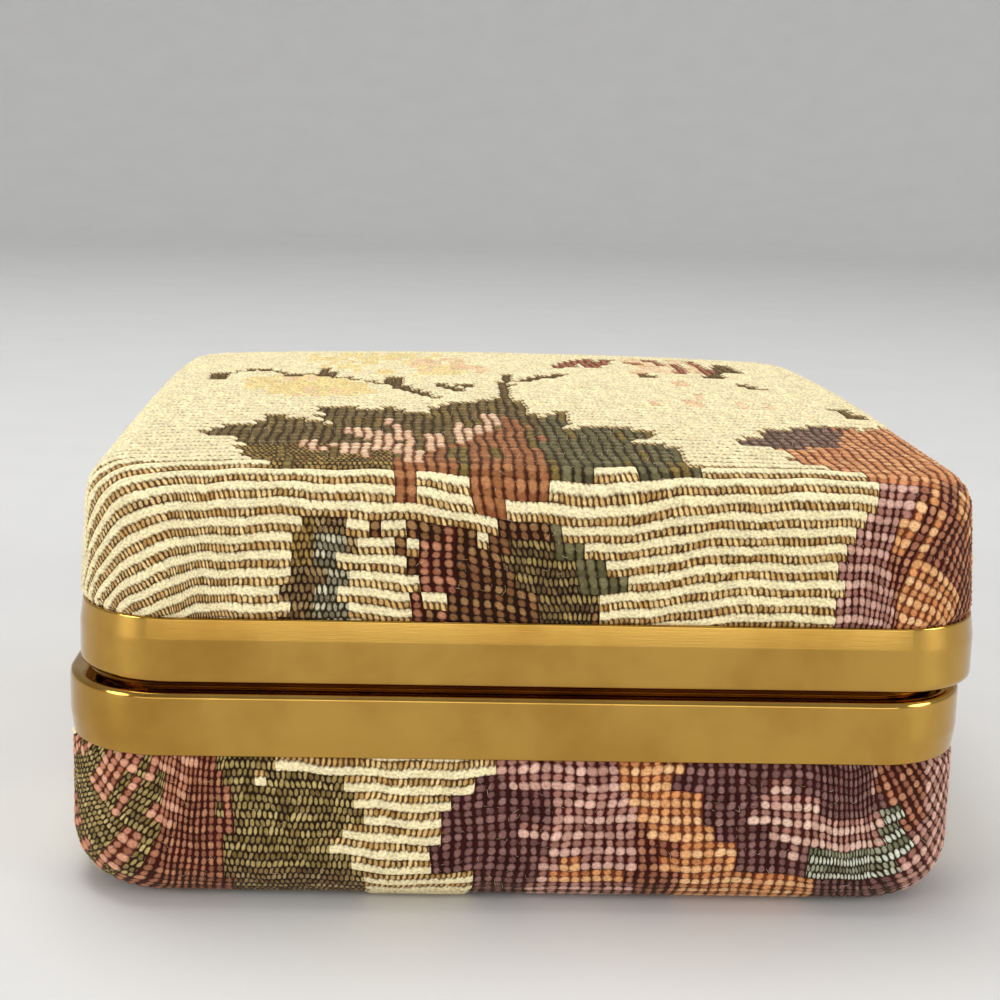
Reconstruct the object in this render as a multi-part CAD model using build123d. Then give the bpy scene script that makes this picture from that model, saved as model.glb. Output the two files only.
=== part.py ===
from build123d import *
import os
from math import cos, hypot, radians, sin

# Clamshell keepsake box: two hard shells covered in woven fabric, each with a folded metal rim,
# joined at the back by a small hinge that a flat spring snaps shut.
# Millimetres, +Z up. The origin is the centre of the base's flat bottom and the front faces -Y.
# An inset is a distance inwards from the outermost face of the rims.

# Overall sizes
width = 76.0
depth = 76.0
lid_top = 37.8
corner_radius = 8.6
mid_plane = 19.0            # the plane where lid and base meet
lid_shift = 0.9             # the lid sits this far to the right, within the hinge's side play

# Rims, one folded strip each
rim_sheet = 0.4
rim_height = 5.4            # from the fabric's edge to the mouth
rim_facet_height = 1.9      # the sloping facet beside the fabric
rim_facet_inset = 0.25
rim_groove_height = 0.8     # dark groove between the two rims
rim_groove_depth = 1.8
rim_land_gap = 0.1          # between the two lands that close on each other
rim_joggle_run = 0.25
rim_lip_radius = 0.55
rim_leg_height = 2.2

# Fabric covers
cover_thickness = 0.9
cover_inset = 0.3
cover_edge_gap = 0.05
tuck_height = 3.0           # fabric pressed flat behind the rim
tuck_inset = 0.7

# Shells and wadding
shell_thickness = 1.5
glue_gap = 0.05
wadding_side = 0.35
wadding_top = 0.4           # at the corners, under the crown
lid_edge_radius = 3.4
lid_draft = 3.5             # degrees
lid_crown = 1.6             # the middle of the lid stands this far above its corners
base_edge_radius = 5.0
least_radius = 0.5

# Lining
lining_thickness = 0.8
lining_window_margin = 0.5
floor_pad_thickness = 2.0
ceiling_pad_thickness = 1.5
pad_edge_radius = 0.6

# Hinge
hinge_width = 26.0
hinge_axis_outset = 0.3     # the pin's axis stands this far behind the rims' rear face
open_angle = 95.0           # degrees
leaf_sheet = 0.4
leaf_bend_radius = 0.35
knuckle_radius = 1.2
knuckle_gap = 0.3
side_play = 1.2
pin_radius = 0.75
pin_clearance = 0.03
pin_head_length = 0.35
pin_head_radius = 1.0
cam_width = 8.6
cam_radius = 1.55
notch_clearance = 0.15
base_leaf_height = 8.4
lid_leaf_height = 5.7
lid_leaf_width = 20.0

# Snap spring
spring_sheet = 0.4
spring_width = 6.4
spring_height = 6.8
spring_tip_reach = 0.8      # past the pin's axis
spring_play = 0.03
spring_slot_clearance = 0.5

# Rivets
rivet_radius = 0.8
rivet_head_radius = 1.4
rivet_head_height = 0.45
rivet_head_edge = 0.3
rivet_clearance = 0.03
base_rivet_spacing = 19.0
base_rivet_drop = 4.6       # below the meeting plane
lid_rivet_spacing = 14.0
lid_rivet_rise = 3.9        # above the meeting plane
spring_rivet_spacing = 3.4
spring_rivet_drop = 6.7

overrun = 2.0               # how far a cut runs past what it cuts

# Places worked out from those sizes
land_low = mid_plane - rim_land_gap / 2
mouth_low = mid_plane - rim_groove_height / 2
rim_edge_low = mouth_low - rim_height
rim_edge_high = 2 * mid_plane - rim_edge_low
rear = depth / 2
axis_y = rear + hinge_axis_outset
base_shell_inset = cover_inset + cover_thickness + glue_gap
lid_shell_inset = base_shell_inset + wadding_side + glue_gap
base_wall_inset = base_shell_inset + shell_thickness
lid_wall_inset = lid_shell_inset + shell_thickness
lid_shell_top = lid_top - cover_thickness - lid_crown - wadding_top - 2 * glue_gap
lid_ceiling = lid_shell_top - shell_thickness
base_floor = cover_thickness + glue_gap + shell_thickness
shell_mouth_low = mouth_low - rim_sheet - glue_gap
leg_end_low = land_low - rim_leg_height
notch_height = cam_radius + notch_clearance
notch_width = hinge_width + 2 * (knuckle_gap + side_play)
base_plate_y = rear - base_wall_inset - glue_gap - leaf_sheet / 2
lid_plate_y = rear - lid_wall_inset - glue_gap - leaf_sheet / 2
cam_gap_width = cam_width + 2 * (knuckle_gap + lid_shift)
spring_y = base_plate_y - leaf_sheet / 2 - glue_gap - spring_sheet / 2
spring_tip_top = mid_plane - knuckle_radius - spring_play


def upper(z):
    """The height in the lid that mirrors a height in the base."""
    return 2 * mid_plane - z


def outline(inset, z):
    """The box's rounded square, drawn inwards by the inset, at a height."""
    shape = RectangleRounded(width - 2 * inset, depth - 2 * inset, corner_radius - inset)
    return Plane.XY.offset(z) * shape


def prism(inset, z_low, z_high):
    """A straight-walled block of the box's outline."""
    return extrude(outline(inset, z_low), amount=z_high - z_low)


def block(x_size, y_low, y_high, z_low, z_high, x_centre=0):
    """A plain block between two planes in Y and two in Z."""
    centre = (x_centre, (y_low + y_high) / 2, (z_low + z_high) / 2)
    return Pos(*centre) * Box(x_size, y_high - y_low, z_high - z_low)


def slab(z_low, z_high):
    """A slab wider than the box, which keeps what lies between two heights."""
    return block(width + 2 * overrun, -rear - overrun, rear + overrun, z_low, z_high)


def rod(radius, length, y, z, x_centre=0):
    """A round bar along X."""
    return Pos(x_centre, y, z) * Rot(Y=90) * Cylinder(radius, length)


def base_form(inset, bottom, top):
    """The base's outer form drawn inwards: straight walls and a rounded bottom edge."""
    form = prism(inset, bottom, top)
    radius = max(base_edge_radius - (inset - cover_inset), least_radius)
    return fillet(form.edges().group_by(Axis.Z)[0], radius)


def leaning_form(inset, bottom):
    """The lid's leaning walls drawn inwards, square at the top."""
    straight = prism(inset, bottom, rim_edge_high)
    return straight + extrude(outline(inset, rim_edge_high), amount=lid_top - rim_edge_high, taper=lid_draft)


def crown_ball(top):
    """The large ball whose cap is the lid's crowned face, with its middle at a height."""
    reach = hypot(width, depth) / 2
    radius = (reach**2 + lid_crown**2) / (2 * lid_crown)
    return Pos(0, 0, top - radius) * Sphere(radius)


def shouldered(form, inset):
    """A form of the lid with its top edge rounded."""
    radius = max(lid_edge_radius - (inset - cover_inset), least_radius)
    return fillet(form.faces().sort_by(Axis.Z)[-1].edges(), radius)


def lid_form(inset, bottom, top):
    """The lid's outer form drawn inwards: leaning walls, a rounded shoulder and a crowned top."""
    return shouldered(leaning_form(inset, bottom) & crown_ball(top), inset)


def flat_lid_form(inset, bottom, top):
    """The form inside the padding: leaning walls, a rounded shoulder and a flat top."""
    return shouldered(leaning_form(inset, bottom) & slab(bottom, top), inset)


def rim_profile(wall_inset):
    """Section of the base's rim: facet, band, lip, groove, land and the leg that grips the shell."""
    crease = rim_edge_low + rim_facet_height
    step = rim_groove_depth + rim_joggle_run
    leg = wall_inset + glue_gap
    outside = [
        (rim_facet_inset, rim_edge_low),
        (0, crease),
        (0, mouth_low),
        (rim_groove_depth, mouth_low),
        (step, land_low),
        (leg + rim_sheet, land_low),
        (leg + rim_sheet, leg_end_low),
        (leg, leg_end_low),
        (leg, land_low - rim_sheet),
        (step, land_low - rim_sheet),
        (rim_groove_depth, mouth_low - rim_sheet),
        (rim_sheet, mouth_low - rim_sheet),
        (rim_sheet, crease),
        (rim_facet_inset + rim_sheet, rim_edge_low),
    ]
    points = [(0, rear - inset, z) for inset, z in outside]
    section = make_face(Polyline(*points, close=True))
    lip = [v for v in section.vertices() if v.Y > rear - glue_gap and v.Z > mouth_low - glue_gap]
    return fillet(lip, rim_lip_radius)


def rim(wall_inset):
    """The folded rim of the base, swept round the box, with the notch that lets the hinge through."""
    path = outline(0, mid_plane).wire()
    ring = sweep(rim_profile(wall_inset), path=path)
    inner_face = rear - wall_inset
    leg_notch = block(notch_width, inner_face - overrun, inner_face, leg_end_low - overrun, mid_plane)
    notch = block(notch_width, inner_face - overrun, rear + overrun, mid_plane - notch_height, mid_plane)
    return ring - leg_notch - notch


def mirrored(shape):
    """The lid's twin of a piece of the base, seated at the lid's own place."""
    return Pos(lid_shift, 0, 0) * mirror(shape, Plane.XY.offset(mid_plane))


def on_lid(shape):
    return Pos(lid_shift, 0, 0) * shape


def rivet_hole(x, y_front, z):
    """A hole through everything behind a face."""
    length = rear - y_front + overrun
    return Pos(x, y_front + length / 2 - overrun, z) * Rot(X=90) * Cylinder(
        rivet_radius + rivet_clearance, length + 2 * overrun
    )


def rivet(x, y_front, y_back, z):
    """A rivet with a domed head on the inside of the box and a shank that ends flush in the shell."""
    shank = Pos(x, (y_front + y_back) / 2, z) * Rot(X=90) * Cylinder(rivet_radius, y_back - y_front)
    head = Cylinder(rivet_head_radius, rivet_head_height, align=(Align.CENTER, Align.CENTER, Align.MIN))
    head = fillet(head.edges().group_by(Axis.Z)[-1], rivet_head_edge)
    return shank + Pos(x, y_front, z) * Rot(X=90) * head


# Base: fabric, shell and lining

base_shell = base_form(base_shell_inset, cover_thickness + glue_gap, shell_mouth_low)
base_shell -= base_form(base_wall_inset, base_floor, mid_plane)
spring_slot_width = spring_width + 2 * spring_slot_clearance
base_shell -= block(
    spring_slot_width, rear - base_wall_inset - overrun, rear, mid_plane - notch_height, mid_plane
)

base_cover = base_form(cover_inset, 0, rim_edge_low - cover_edge_gap)
base_cover += prism(tuck_inset, rim_edge_low - cover_thickness, rim_edge_low + tuck_height)
base_cover -= base_form(base_shell_inset - glue_gap, cover_thickness, mid_plane)

base_rim = rim(base_wall_inset)

lining_inset = base_wall_inset + glue_gap
base_lining_wall = prism(lining_inset, base_floor + glue_gap, leg_end_low - glue_gap)
base_lining_wall &= base_form(lining_inset, base_floor + glue_gap, mid_plane)
base_lining_wall -= prism(lining_inset + lining_thickness, base_floor - overrun, mid_plane)
base_plate_low = land_low - base_leaf_height
window_low = base_plate_low - lining_window_margin
window_width = hinge_width + 2 * lining_window_margin
base_lining_wall -= block(window_width, 0, rear, window_low, mid_plane)

pad_inset = lining_inset + lining_thickness + glue_gap
pad_low = base_floor + glue_gap
base_lining_floor = prism(pad_inset, pad_low, pad_low + floor_pad_thickness)
base_lining_floor &= base_form(lining_inset, pad_low, mid_plane)
base_lining_floor = fillet(base_lining_floor.edges().group_by(Axis.Z)[-1], pad_edge_radius)

# Lid: fabric, wadding, shell and lining

lid_mouth = upper(shell_mouth_low)
lid_shell = flat_lid_form(lid_shell_inset, lid_mouth, lid_shell_top)
lid_shell -= flat_lid_form(lid_wall_inset, mid_plane, lid_ceiling)
lid_shell = on_lid(lid_shell)

cover_inner_inset = cover_inset + cover_thickness
cover_inner_top = lid_top - cover_thickness
lid_cover = lid_form(cover_inset, mid_plane, lid_top) & slab(rim_edge_high + cover_edge_gap, lid_top)
lid_cover += prism(tuck_inset, rim_edge_high - tuck_height, rim_edge_high + cover_thickness)
lid_cover -= lid_form(cover_inner_inset, mid_plane, cover_inner_top)
lid_cover = on_lid(lid_cover)

lid_wadding = lid_form(cover_inner_inset + glue_gap, mid_plane, cover_inner_top - glue_gap)
lid_wadding -= flat_lid_form(lid_shell_inset - glue_gap, mid_plane, lid_shell_top + glue_gap)
lid_wadding = on_lid(lid_wadding & slab(rim_edge_high, lid_top))

lid_rim = mirrored(rim(lid_wall_inset))

lid_lining_inset = lid_wall_inset + glue_gap
lining_ceiling = lid_ceiling - glue_gap
lid_lining_wall = leaning_form(lid_lining_inset, upper(leg_end_low) + glue_gap)
lid_lining_wall -= leaning_form(lid_lining_inset + lining_thickness, mid_plane)
lid_lining_wall &= slab(mid_plane, lining_ceiling - least_radius)
lid_plate_high = upper(land_low) + lid_leaf_height
lid_window_width = lid_leaf_width + 2 * lining_window_margin
lid_lining_wall -= block(lid_window_width, 0, rear, mid_plane, lid_plate_high + lining_window_margin)
lid_lining_wall = on_lid(lid_lining_wall)

lid_pad_inset = lid_lining_inset + lining_thickness + glue_gap
lid_lining_pad = flat_lid_form(lid_pad_inset, mid_plane, lining_ceiling)
lid_lining_pad &= slab(lining_ceiling - ceiling_pad_thickness, lid_top)
lid_lining_pad = fillet(lid_lining_pad.edges().group_by(Axis.Z)[0], pad_edge_radius)
lid_lining_pad = on_lid(lid_lining_pad)

# Hinge: two folded leaves, the pin and the rivets

knuckle_width = (hinge_width - cam_gap_width) / 2
knuckle_x = (hinge_width - knuckle_width) / 2
pin_hole = rod(pin_radius + pin_clearance, hinge_width + 2 * overrun, axis_y, mid_plane)

plate_top = land_low
base_hinge_leaf = block(
    hinge_width, base_plate_y - leaf_sheet / 2, base_plate_y + leaf_sheet / 2, base_plate_low, plate_top
)
base_hinge_leaf -= block(cam_gap_width, 0, rear, mid_plane - notch_height, mid_plane)
for side in (-1, 1):
    x = side * knuckle_x
    base_hinge_leaf += block(
        knuckle_width, base_plate_y - leaf_sheet / 2, axis_y, plate_top - leaf_sheet, plate_top, x
    )
bends = base_hinge_leaf.edges().filter_by(Axis.X)
bends = bends.filter_by_position(Axis.Y, base_plate_y - leaf_sheet, base_plate_y)
bends = bends.filter_by_position(Axis.Z, plate_top - glue_gap, plate_top + glue_gap)
base_hinge_leaf = fillet(bends, leaf_bend_radius)
for side in (-1, 1):
    base_hinge_leaf += rod(knuckle_radius, knuckle_width, axis_y, mid_plane, side * knuckle_x)
base_hinge_leaf -= pin_hole

lid_strap_low = upper(land_low)
cam = rod(cam_radius, cam_width, axis_y, mid_plane)
for angle in (0, open_angle):
    far = knuckle_radius + cam_radius
    flat = Pos(0, axis_y + far * sin(radians(angle)), mid_plane - far * cos(radians(angle)))
    cam -= flat * Rot(X=angle) * Box(cam_width + 2 * overrun, 2 * far, 2 * cam_radius)
lid_hinge_leaf = block(
    lid_leaf_width, lid_plate_y - leaf_sheet / 2, lid_plate_y + leaf_sheet / 2, lid_strap_low, lid_plate_high
)
lid_hinge_leaf += block(
    cam_width, lid_plate_y - leaf_sheet / 2, axis_y, lid_strap_low, lid_strap_low + leaf_sheet
)
bends = lid_hinge_leaf.edges().filter_by(Axis.X)
bends = bends.filter_by_position(Axis.Y, lid_plate_y - leaf_sheet, lid_plate_y)
bends = bends.filter_by_position(Axis.Z, lid_strap_low - glue_gap, lid_strap_low + glue_gap)
lid_hinge_leaf = fillet(bends, leaf_bend_radius)
lid_hinge_leaf = on_lid(lid_hinge_leaf + cam) - pin_hole

hinge_pin = rod(pin_radius, hinge_width + 2 * glue_gap, axis_y, mid_plane)
for side in (-1, 1):
    head_x = side * (hinge_width / 2 + glue_gap + pin_head_length / 2)
    hinge_pin += rod(pin_head_radius, pin_head_length, axis_y, mid_plane, head_x)

# Snap spring: a flat strip on the base, bent over the wall to bear on the cam's flats

spring_low = spring_tip_top - spring_height
snap_spring = block(
    spring_width, spring_y - spring_sheet / 2, spring_y + spring_sheet / 2, spring_low, spring_tip_top
)
snap_spring += block(
    spring_width, spring_y, axis_y + spring_tip_reach, spring_tip_top - spring_sheet, spring_tip_top
)
bends = snap_spring.edges().filter_by(Axis.X)
bends = bends.filter_by_position(Axis.Y, spring_y - spring_sheet, spring_y)
bends = bends.filter_by_position(Axis.Z, spring_tip_top - glue_gap, spring_tip_top + glue_gap)
snap_spring = fillet(bends, leaf_bend_radius)

# Rivets and their holes

base_rivet_z = mid_plane - base_rivet_drop
lid_rivet_z = mid_plane + lid_rivet_rise
spring_rivet_z = mid_plane - spring_rivet_drop
base_plate_face = base_plate_y - leaf_sheet / 2
lid_plate_face = lid_plate_y - leaf_sheet / 2
spring_face = spring_y - spring_sheet / 2
base_rivet_end = rear - base_shell_inset - glue_gap
lid_rivet_end = rear - lid_shell_inset - 2 * glue_gap
base_hinge_rivets = []
spring_rivets = []
lid_hinge_rivets = []
for side in (-1, 1):
    x = side * base_rivet_spacing / 2
    base_hinge_leaf -= rivet_hole(x, base_plate_face, base_rivet_z)
    base_shell -= rivet_hole(x, base_plate_face, base_rivet_z)
    base_hinge_rivets.append(rivet(x, base_plate_face, base_rivet_end, base_rivet_z))
    x = side * spring_rivet_spacing / 2
    snap_spring -= rivet_hole(x, spring_face, spring_rivet_z)
    base_hinge_leaf -= rivet_hole(x, spring_face, spring_rivet_z)
    base_shell -= rivet_hole(x, spring_face, spring_rivet_z)
    spring_rivets.append(rivet(x, spring_face, base_rivet_end, spring_rivet_z))
    x = lid_shift + side * lid_rivet_spacing / 2
    lid_hinge_leaf -= rivet_hole(x, lid_plate_face, lid_rivet_z)
    lid_shell -= rivet_hole(x, lid_plate_face, lid_rivet_z)
    lid_hinge_rivets.append(rivet(x, lid_plate_face, lid_rivet_end, lid_rivet_z))

pieces = {
    "base_shell": base_shell,
    "base_cover": base_cover,
    "base_rim": base_rim,
    "base_lining_wall": base_lining_wall,
    "base_lining_floor": base_lining_floor,
    "base_hinge_leaf": base_hinge_leaf,
    "base_hinge_rivets": Compound(children=base_hinge_rivets),
    "hinge_pin": hinge_pin,
    "snap_spring": snap_spring,
    "spring_rivets": Compound(children=spring_rivets),
    "lid_shell": lid_shell,
    "lid_wadding": lid_wadding,
    "lid_cover": lid_cover,
    "lid_rim": lid_rim,
    "lid_lining_wall": lid_lining_wall,
    "lid_lining_pad": lid_lining_pad,
    "lid_hinge_leaf": lid_hinge_leaf,
    "lid_hinge_rivets": Compound(children=lid_hinge_rivets),
}

os.makedirs("parts", exist_ok=True)
for node, shape in pieces.items():
    export_step(shape, f"parts/{node}.step")
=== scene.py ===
import math

import bmesh
import bpy
import numpy as np
from mathutils import Matrix, Vector

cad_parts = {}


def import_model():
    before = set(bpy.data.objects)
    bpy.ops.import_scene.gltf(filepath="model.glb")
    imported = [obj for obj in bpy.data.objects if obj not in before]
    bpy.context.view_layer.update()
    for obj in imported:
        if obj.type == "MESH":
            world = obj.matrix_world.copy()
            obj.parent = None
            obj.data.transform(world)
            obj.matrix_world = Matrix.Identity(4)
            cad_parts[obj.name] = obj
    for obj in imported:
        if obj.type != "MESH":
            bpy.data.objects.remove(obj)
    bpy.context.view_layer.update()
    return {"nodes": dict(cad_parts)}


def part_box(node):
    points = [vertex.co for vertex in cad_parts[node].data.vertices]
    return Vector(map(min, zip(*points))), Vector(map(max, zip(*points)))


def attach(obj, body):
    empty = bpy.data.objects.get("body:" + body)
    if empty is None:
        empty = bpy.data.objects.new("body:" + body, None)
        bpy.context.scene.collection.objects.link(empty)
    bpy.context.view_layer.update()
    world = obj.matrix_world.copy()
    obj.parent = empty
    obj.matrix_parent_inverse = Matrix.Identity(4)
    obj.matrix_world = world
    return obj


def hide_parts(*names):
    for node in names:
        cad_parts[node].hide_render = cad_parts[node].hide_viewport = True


# A small keepsake box covered in tapestry weave, with a gold-tone band round each half.
# Lengths are millimetres until a mesh is made. The front faces -Y and the hinge is at the back.

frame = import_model()
MM = 0.001


def node_box(node):
    """A CAD node's lowest and highest corner in millimetres."""
    low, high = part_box(node)
    return np.array(low) / MM, np.array(high) / MM


BASE_RIM_LOW, BASE_RIM_HIGH = node_box("base_rim")
LID_RIM_LOW, LID_RIM_HIGH = node_box("lid_rim")
HALF = (BASE_RIM_HIGH[0] - BASE_RIM_LOW[0]) / 2
LID_X = (LID_RIM_LOW[0] + LID_RIM_HIGH[0]) / 2
MID_PLANE = (BASE_RIM_LOW[2] + LID_RIM_HIGH[2]) / 2
LAND = BASE_RIM_HIGH[2]
BASE_EDGE = BASE_RIM_LOW[2]
LID_EDGE = LID_RIM_HIGH[2]
LID_TOP = node_box("lid_cover")[1][2]

# The forms that the CAD has too
CORNER = 8.6
COVER_INSET = 0.3
LID_SHOULDER = 3.4
LID_LEAN = math.radians(3.5)
LID_CROWN = 1.6
BASE_SHOULDER = 5.0
TUCK_INSET = 0.7
TUCK_HEIGHT = 3.0

# How the cloth is fanned round a corner, stepped in behind a band and lifted towards the hinge
FAN_SPREAD = 6.0
TUCK_START = 0.55
TUCK_STEP = 0.6
LID_LOFT = 0.7
LOFT_START, LOFT_END = -24, 26
HALVINGS = 40
SHOULDER_RINGS = 9
CROWN_RINGS = 22

# The weave
COLUMN = 0.9
ROW = 1.4
REACH = 53.0
SEED = 7
LID_STRAY = 0.35
BASE_STRAY = 0.75
LID_FRONT = (-31, -38)
BASE_FRONT = (-33, -38)
RUN_ROWS = 3


# Shader helper

class Value:
    """A shader socket that takes part in arithmetic: an expression adds its Math nodes."""

    def __init__(self, shader, socket):
        self.shader, self.socket = shader, socket

    def math(self, operation, *others, **settings):
        inputs = dict(enumerate((self, *others)))
        return self.shader.node("Math", inputs, operation=operation, **settings)

    def __add__(self, other):
        return self.math("ADD", other)

    def __sub__(self, other):
        return self.math("SUBTRACT", other)

    def __mul__(self, other):
        return self.math("MULTIPLY", other)

    def __truediv__(self, other):
        return self.math("DIVIDE", other)

    def __pow__(self, other):
        return self.math("POWER", other)

    def __rsub__(self, other):
        return self.math("MULTIPLY_ADD", -1, other)

    __radd__ = __add__
    __rmul__ = __mul__

    def fraction(self):
        return self.math("FRACT")

    def whole(self):
        return self.math("FLOOR")

    def size(self):
        return self.math("ABSOLUTE")

    def wave(self):
        """A cosine that goes round once for each whole number."""
        return (self * math.tau).math("COSINE")

    def clamped(self):
        return self.math("ADD", 0, use_clamp=True)

    def step(self, start, end):
        """A smooth step from 0 to 1 as the value goes from start to end."""
        inputs = {"Value": self, "From Min": start, "From Max": end}
        return self.shader.node("MapRange", inputs, interpolation_type="SMOOTHSTEP")


class Shader:
    """A material's node tree with a Principled surface."""

    def __init__(self, name):
        self.material = bpy.data.materials.new(name)
        self.material.use_nodes = True
        self.tree = self.material.node_tree
        self.tree.nodes.clear()
        self.surface = self.tree.nodes.new("ShaderNodeBsdfPrincipled")
        out = self.tree.nodes.new("ShaderNodeOutputMaterial")
        self.tree.links.new(self.surface.outputs[0], out.inputs[0])

    def plug(self, socket, value):
        if isinstance(value, Value):
            self.tree.links.new(value.socket, socket)
        else:
            socket.default_value = value

    def node(self, kind, inputs=(), output=0, **settings):
        made = self.tree.nodes.new("ShaderNode" + kind)
        for key, value in settings.items():
            setattr(made, key, value)
        for key, value in dict(inputs).items():
            self.plug(made.inputs[key], value)
        return Value(self, made.outputs[output])

    def mix(self, factor, a, b, blend="MIX"):
        inputs = {0: factor, 6: a, 7: b}
        return self.node("Mix", inputs, output=2, data_type="RGBA", blend_type=blend)

    def place(self):
        return self.node("TexCoord", output="Object")

    def noise(self, vector, scale, detail=2.0, roughness=0.5):
        inputs = {"Vector": vector, "Scale": scale, "Detail": detail, "Roughness": roughness}
        return self.node("TexNoise", inputs)

    def stretched(self, vector, scale):
        return self.node("Mapping", {"Vector": vector, "Scale": scale})

    def parts(self, vector):
        made = self.tree.nodes.new("ShaderNodeSeparateXYZ")
        self.plug(made.inputs[0], vector)
        return [Value(self, socket) for socket in made.outputs]

    def bump(self, height, distance, strength=1.0):
        return self.node("Bump", {"Height": height, "Distance": distance, "Strength": strength})

    def finish(self, **sockets):
        """Sets the surface's sockets; an underscore in a name stands for a space."""
        for name, value in sockets.items():
            self.plug(self.surface.inputs[name.replace("_", " ")], value)
        return self.material


def colour(*screen):
    """A colour as it shows on a screen, from 0 to 255, as the shader wants it."""
    linear = [c / 255 / 12.92 if c < 11 else ((c / 255 + 0.055) / 1.055) ** 2.4 for c in screen]
    return (*linear, 1.0)


# Objects and meshes

def add(name, data):
    """An object in the scene."""
    made = bpy.data.objects.new(name, data)
    bpy.context.scene.collection.objects.link(made)
    return made


def solid(name, points, faces, place):
    """A smooth mesh as an object, from points in millimetres, with its faces turned outwards."""
    mesh = bpy.data.meshes.new(name)
    mesh.from_pydata(place(points) * MM, [], faces)
    work = bmesh.new()
    work.from_mesh(mesh)
    bmesh.ops.recalc_face_normals(work, faces=work.faces)
    work.to_mesh(mesh)
    work.free()
    mesh.shade_smooth()
    return add(name, mesh)


def ring_faces(first, rings, n):
    """The faces between rings of n points, which follow one another from a first point on."""
    faces = []
    for k in range(rings - 1):
        for i in range(n):
            a, b = first + k * n + i, first + k * n + (i + 1) % n
            faces.append((a, b, b + n, a + n))
    return faces


def dome_faces(first, rings, n, centre):
    """The faces between rings, and a fan from the last ring to a centre point."""
    last = first + (rings - 1) * n
    fan = [(last + i, last + (i + 1) % n, centre) for i in range(n)]
    return ring_faces(first, rings, n) + fan


def smooth(start, end, value):
    """A smooth step from 0 to 1 as the value goes from start to end."""
    share = np.clip((value - start) / (end - start), 0, 1)
    return share**2 * (3 - 2 * share)


# Wrapping a flat cloth over a half of the box

class Wrap:
    """A flat cloth laid on one half of the box, turned over its shoulder and drawn down its walls.
    Heights count up towards the half's flat face, and the cloth's middle is that face's middle."""

    def __init__(self, shoulder, lean, top, edge, crown, loft=0.0):
        self.shoulder, self.lean, self.top, self.edge, self.loft = shoulder, lean, top, edge, loft
        self.ball = (2 * HALF**2 + crown**2) / (2 * crown) if crown else math.inf
        rise = top - shoulder - crown / 2 - edge
        inwards = rise * math.tan(lean) + shoulder / math.cos(lean)
        self.half = HALF - COVER_INSET - inwards
        self.corner = CORNER - COVER_INSET - inwards
        self.straight = self.half - self.corner
        self.arc = self.corner * math.pi / 2

    def height(self, x, y):
        return self.top - (x * x + y * y) / (2 * self.ball)

    def rim_point(self, along):
        """The shoulder's start, from the middle of one side round a corner to the middle of the next."""
        turn = np.clip((along - self.straight) / self.arc, 0, 1) * math.pi / 2
        before = np.minimum(along, self.straight)
        after = np.maximum(along - self.straight - self.arc, 0)
        x = before + self.corner * np.sin(turn)
        y = self.straight + self.corner * np.cos(turn) - after
        return x, y, turn

    def pull(self, along):
        """The direction in which the cloth is drawn over the edge. It turns a little before the corner."""
        end = self.straight + self.arc + FAN_SPREAD
        return smooth(self.straight - FAN_SPREAD, end, along) * math.pi / 2

    def tucked(self, z):
        """How far the cloth has stepped in at a height: 0 above the band's edge and 1 behind the band."""
        return np.clip((self.edge + TUCK_START - z) / TUCK_STEP, 0, 1)

    def surface(self, u, v):
        """The place on the box of a point of the cloth."""
        x, y = np.abs(u), np.abs(v)
        low, high = np.zeros_like(x), np.full_like(x, 2 * self.straight + self.arc)
        for _ in range(HALVINGS):
            middle = (low + high) / 2
            px, py, turn = self.rim_point(middle)
            pull = self.pull(middle)
            beyond = (x - px) * np.cos(pull) > (y - py) * np.sin(pull)
            low, high = np.where(beyond, middle, low), np.where(beyond, high, middle)
        past = (x - px) * np.sin(pull) + (y - py) * np.cos(pull)
        slope = np.hypot(px, py) / self.ball
        sweep = math.pi / 2 - self.lean - slope
        angle = np.clip(past / self.shoulder, 0, sweep) + slope
        down = np.maximum(past - self.shoulder * sweep, 0)
        out = self.shoulder * np.sin(angle) + down * math.sin(self.lean)
        z = self.height(px, py) - self.shoulder * (1 - np.cos(angle)) - down * math.cos(self.lean)
        # behind the band the cloth steps in and ends
        reach = HALF - TUCK_INSET - self.half
        out = out + (np.minimum(out, reach) - out) * self.tucked(z)
        z = np.maximum(z, self.edge - TUCK_HEIGHT)
        on_wall = past > 0
        z = np.where(on_wall, z, self.height(u, v))
        across = np.where(on_wall, px + out * np.sin(turn), x) * np.sign(u)
        back = np.where(on_wall, py + out * np.cos(turn), y) * np.sign(v)
        return np.stack([across, back, self.lofted(back, z)], axis=-1)

    def lofted(self, back, z):
        """The padding stands a little higher towards the hinge."""
        share = np.clip((z - self.edge) / (self.top - self.edge), 0, 1)
        return z + self.loft * smooth(LOFT_START, LOFT_END, back) * share

    def layer(self, route, foot, offset, ceiling=math.inf):
        """Rings from a foot on the wall to the middle of the top, at an offset inside the cloth."""
        rim = route[:, :2] + route[:, 2:] * (HALF - self.half)
        start = self.height(rim[:, 0], rim[:, 1]) - self.shoulder
        radius = self.shoulder - offset
        level = np.ones(len(route))

        def ring(out, z):
            return np.column_stack([rim - route[:, 2:] * out[:, None], z])

        rise = start + radius * math.sin(self.lean) - foot
        rings = [ring(radius * math.cos(self.lean) + rise * math.tan(self.lean), foot * level)]
        for angle in np.linspace(self.lean, math.pi / 2, SHOULDER_RINGS):
            rings.append(ring(radius * math.cos(angle) * level, start + radius * math.sin(angle)))
        for share in np.linspace(0, 1, CROWN_RINGS)[1:-1]:
            xy = rim * (1 - share)
            rings.append(np.column_stack([xy, self.height(xy[:, 0], xy[:, 1]) - offset]))
        for points in rings:
            dimple = 0.05 * (1 + np.sin(points[:, 0] * 0.9) * np.sin(points[:, 1] * 0.8 + 1))
            points[:, 2] = np.minimum(self.lofted(points[:, 1], points[:, 2]) - dimple, ceiling)
        return rings


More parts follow.
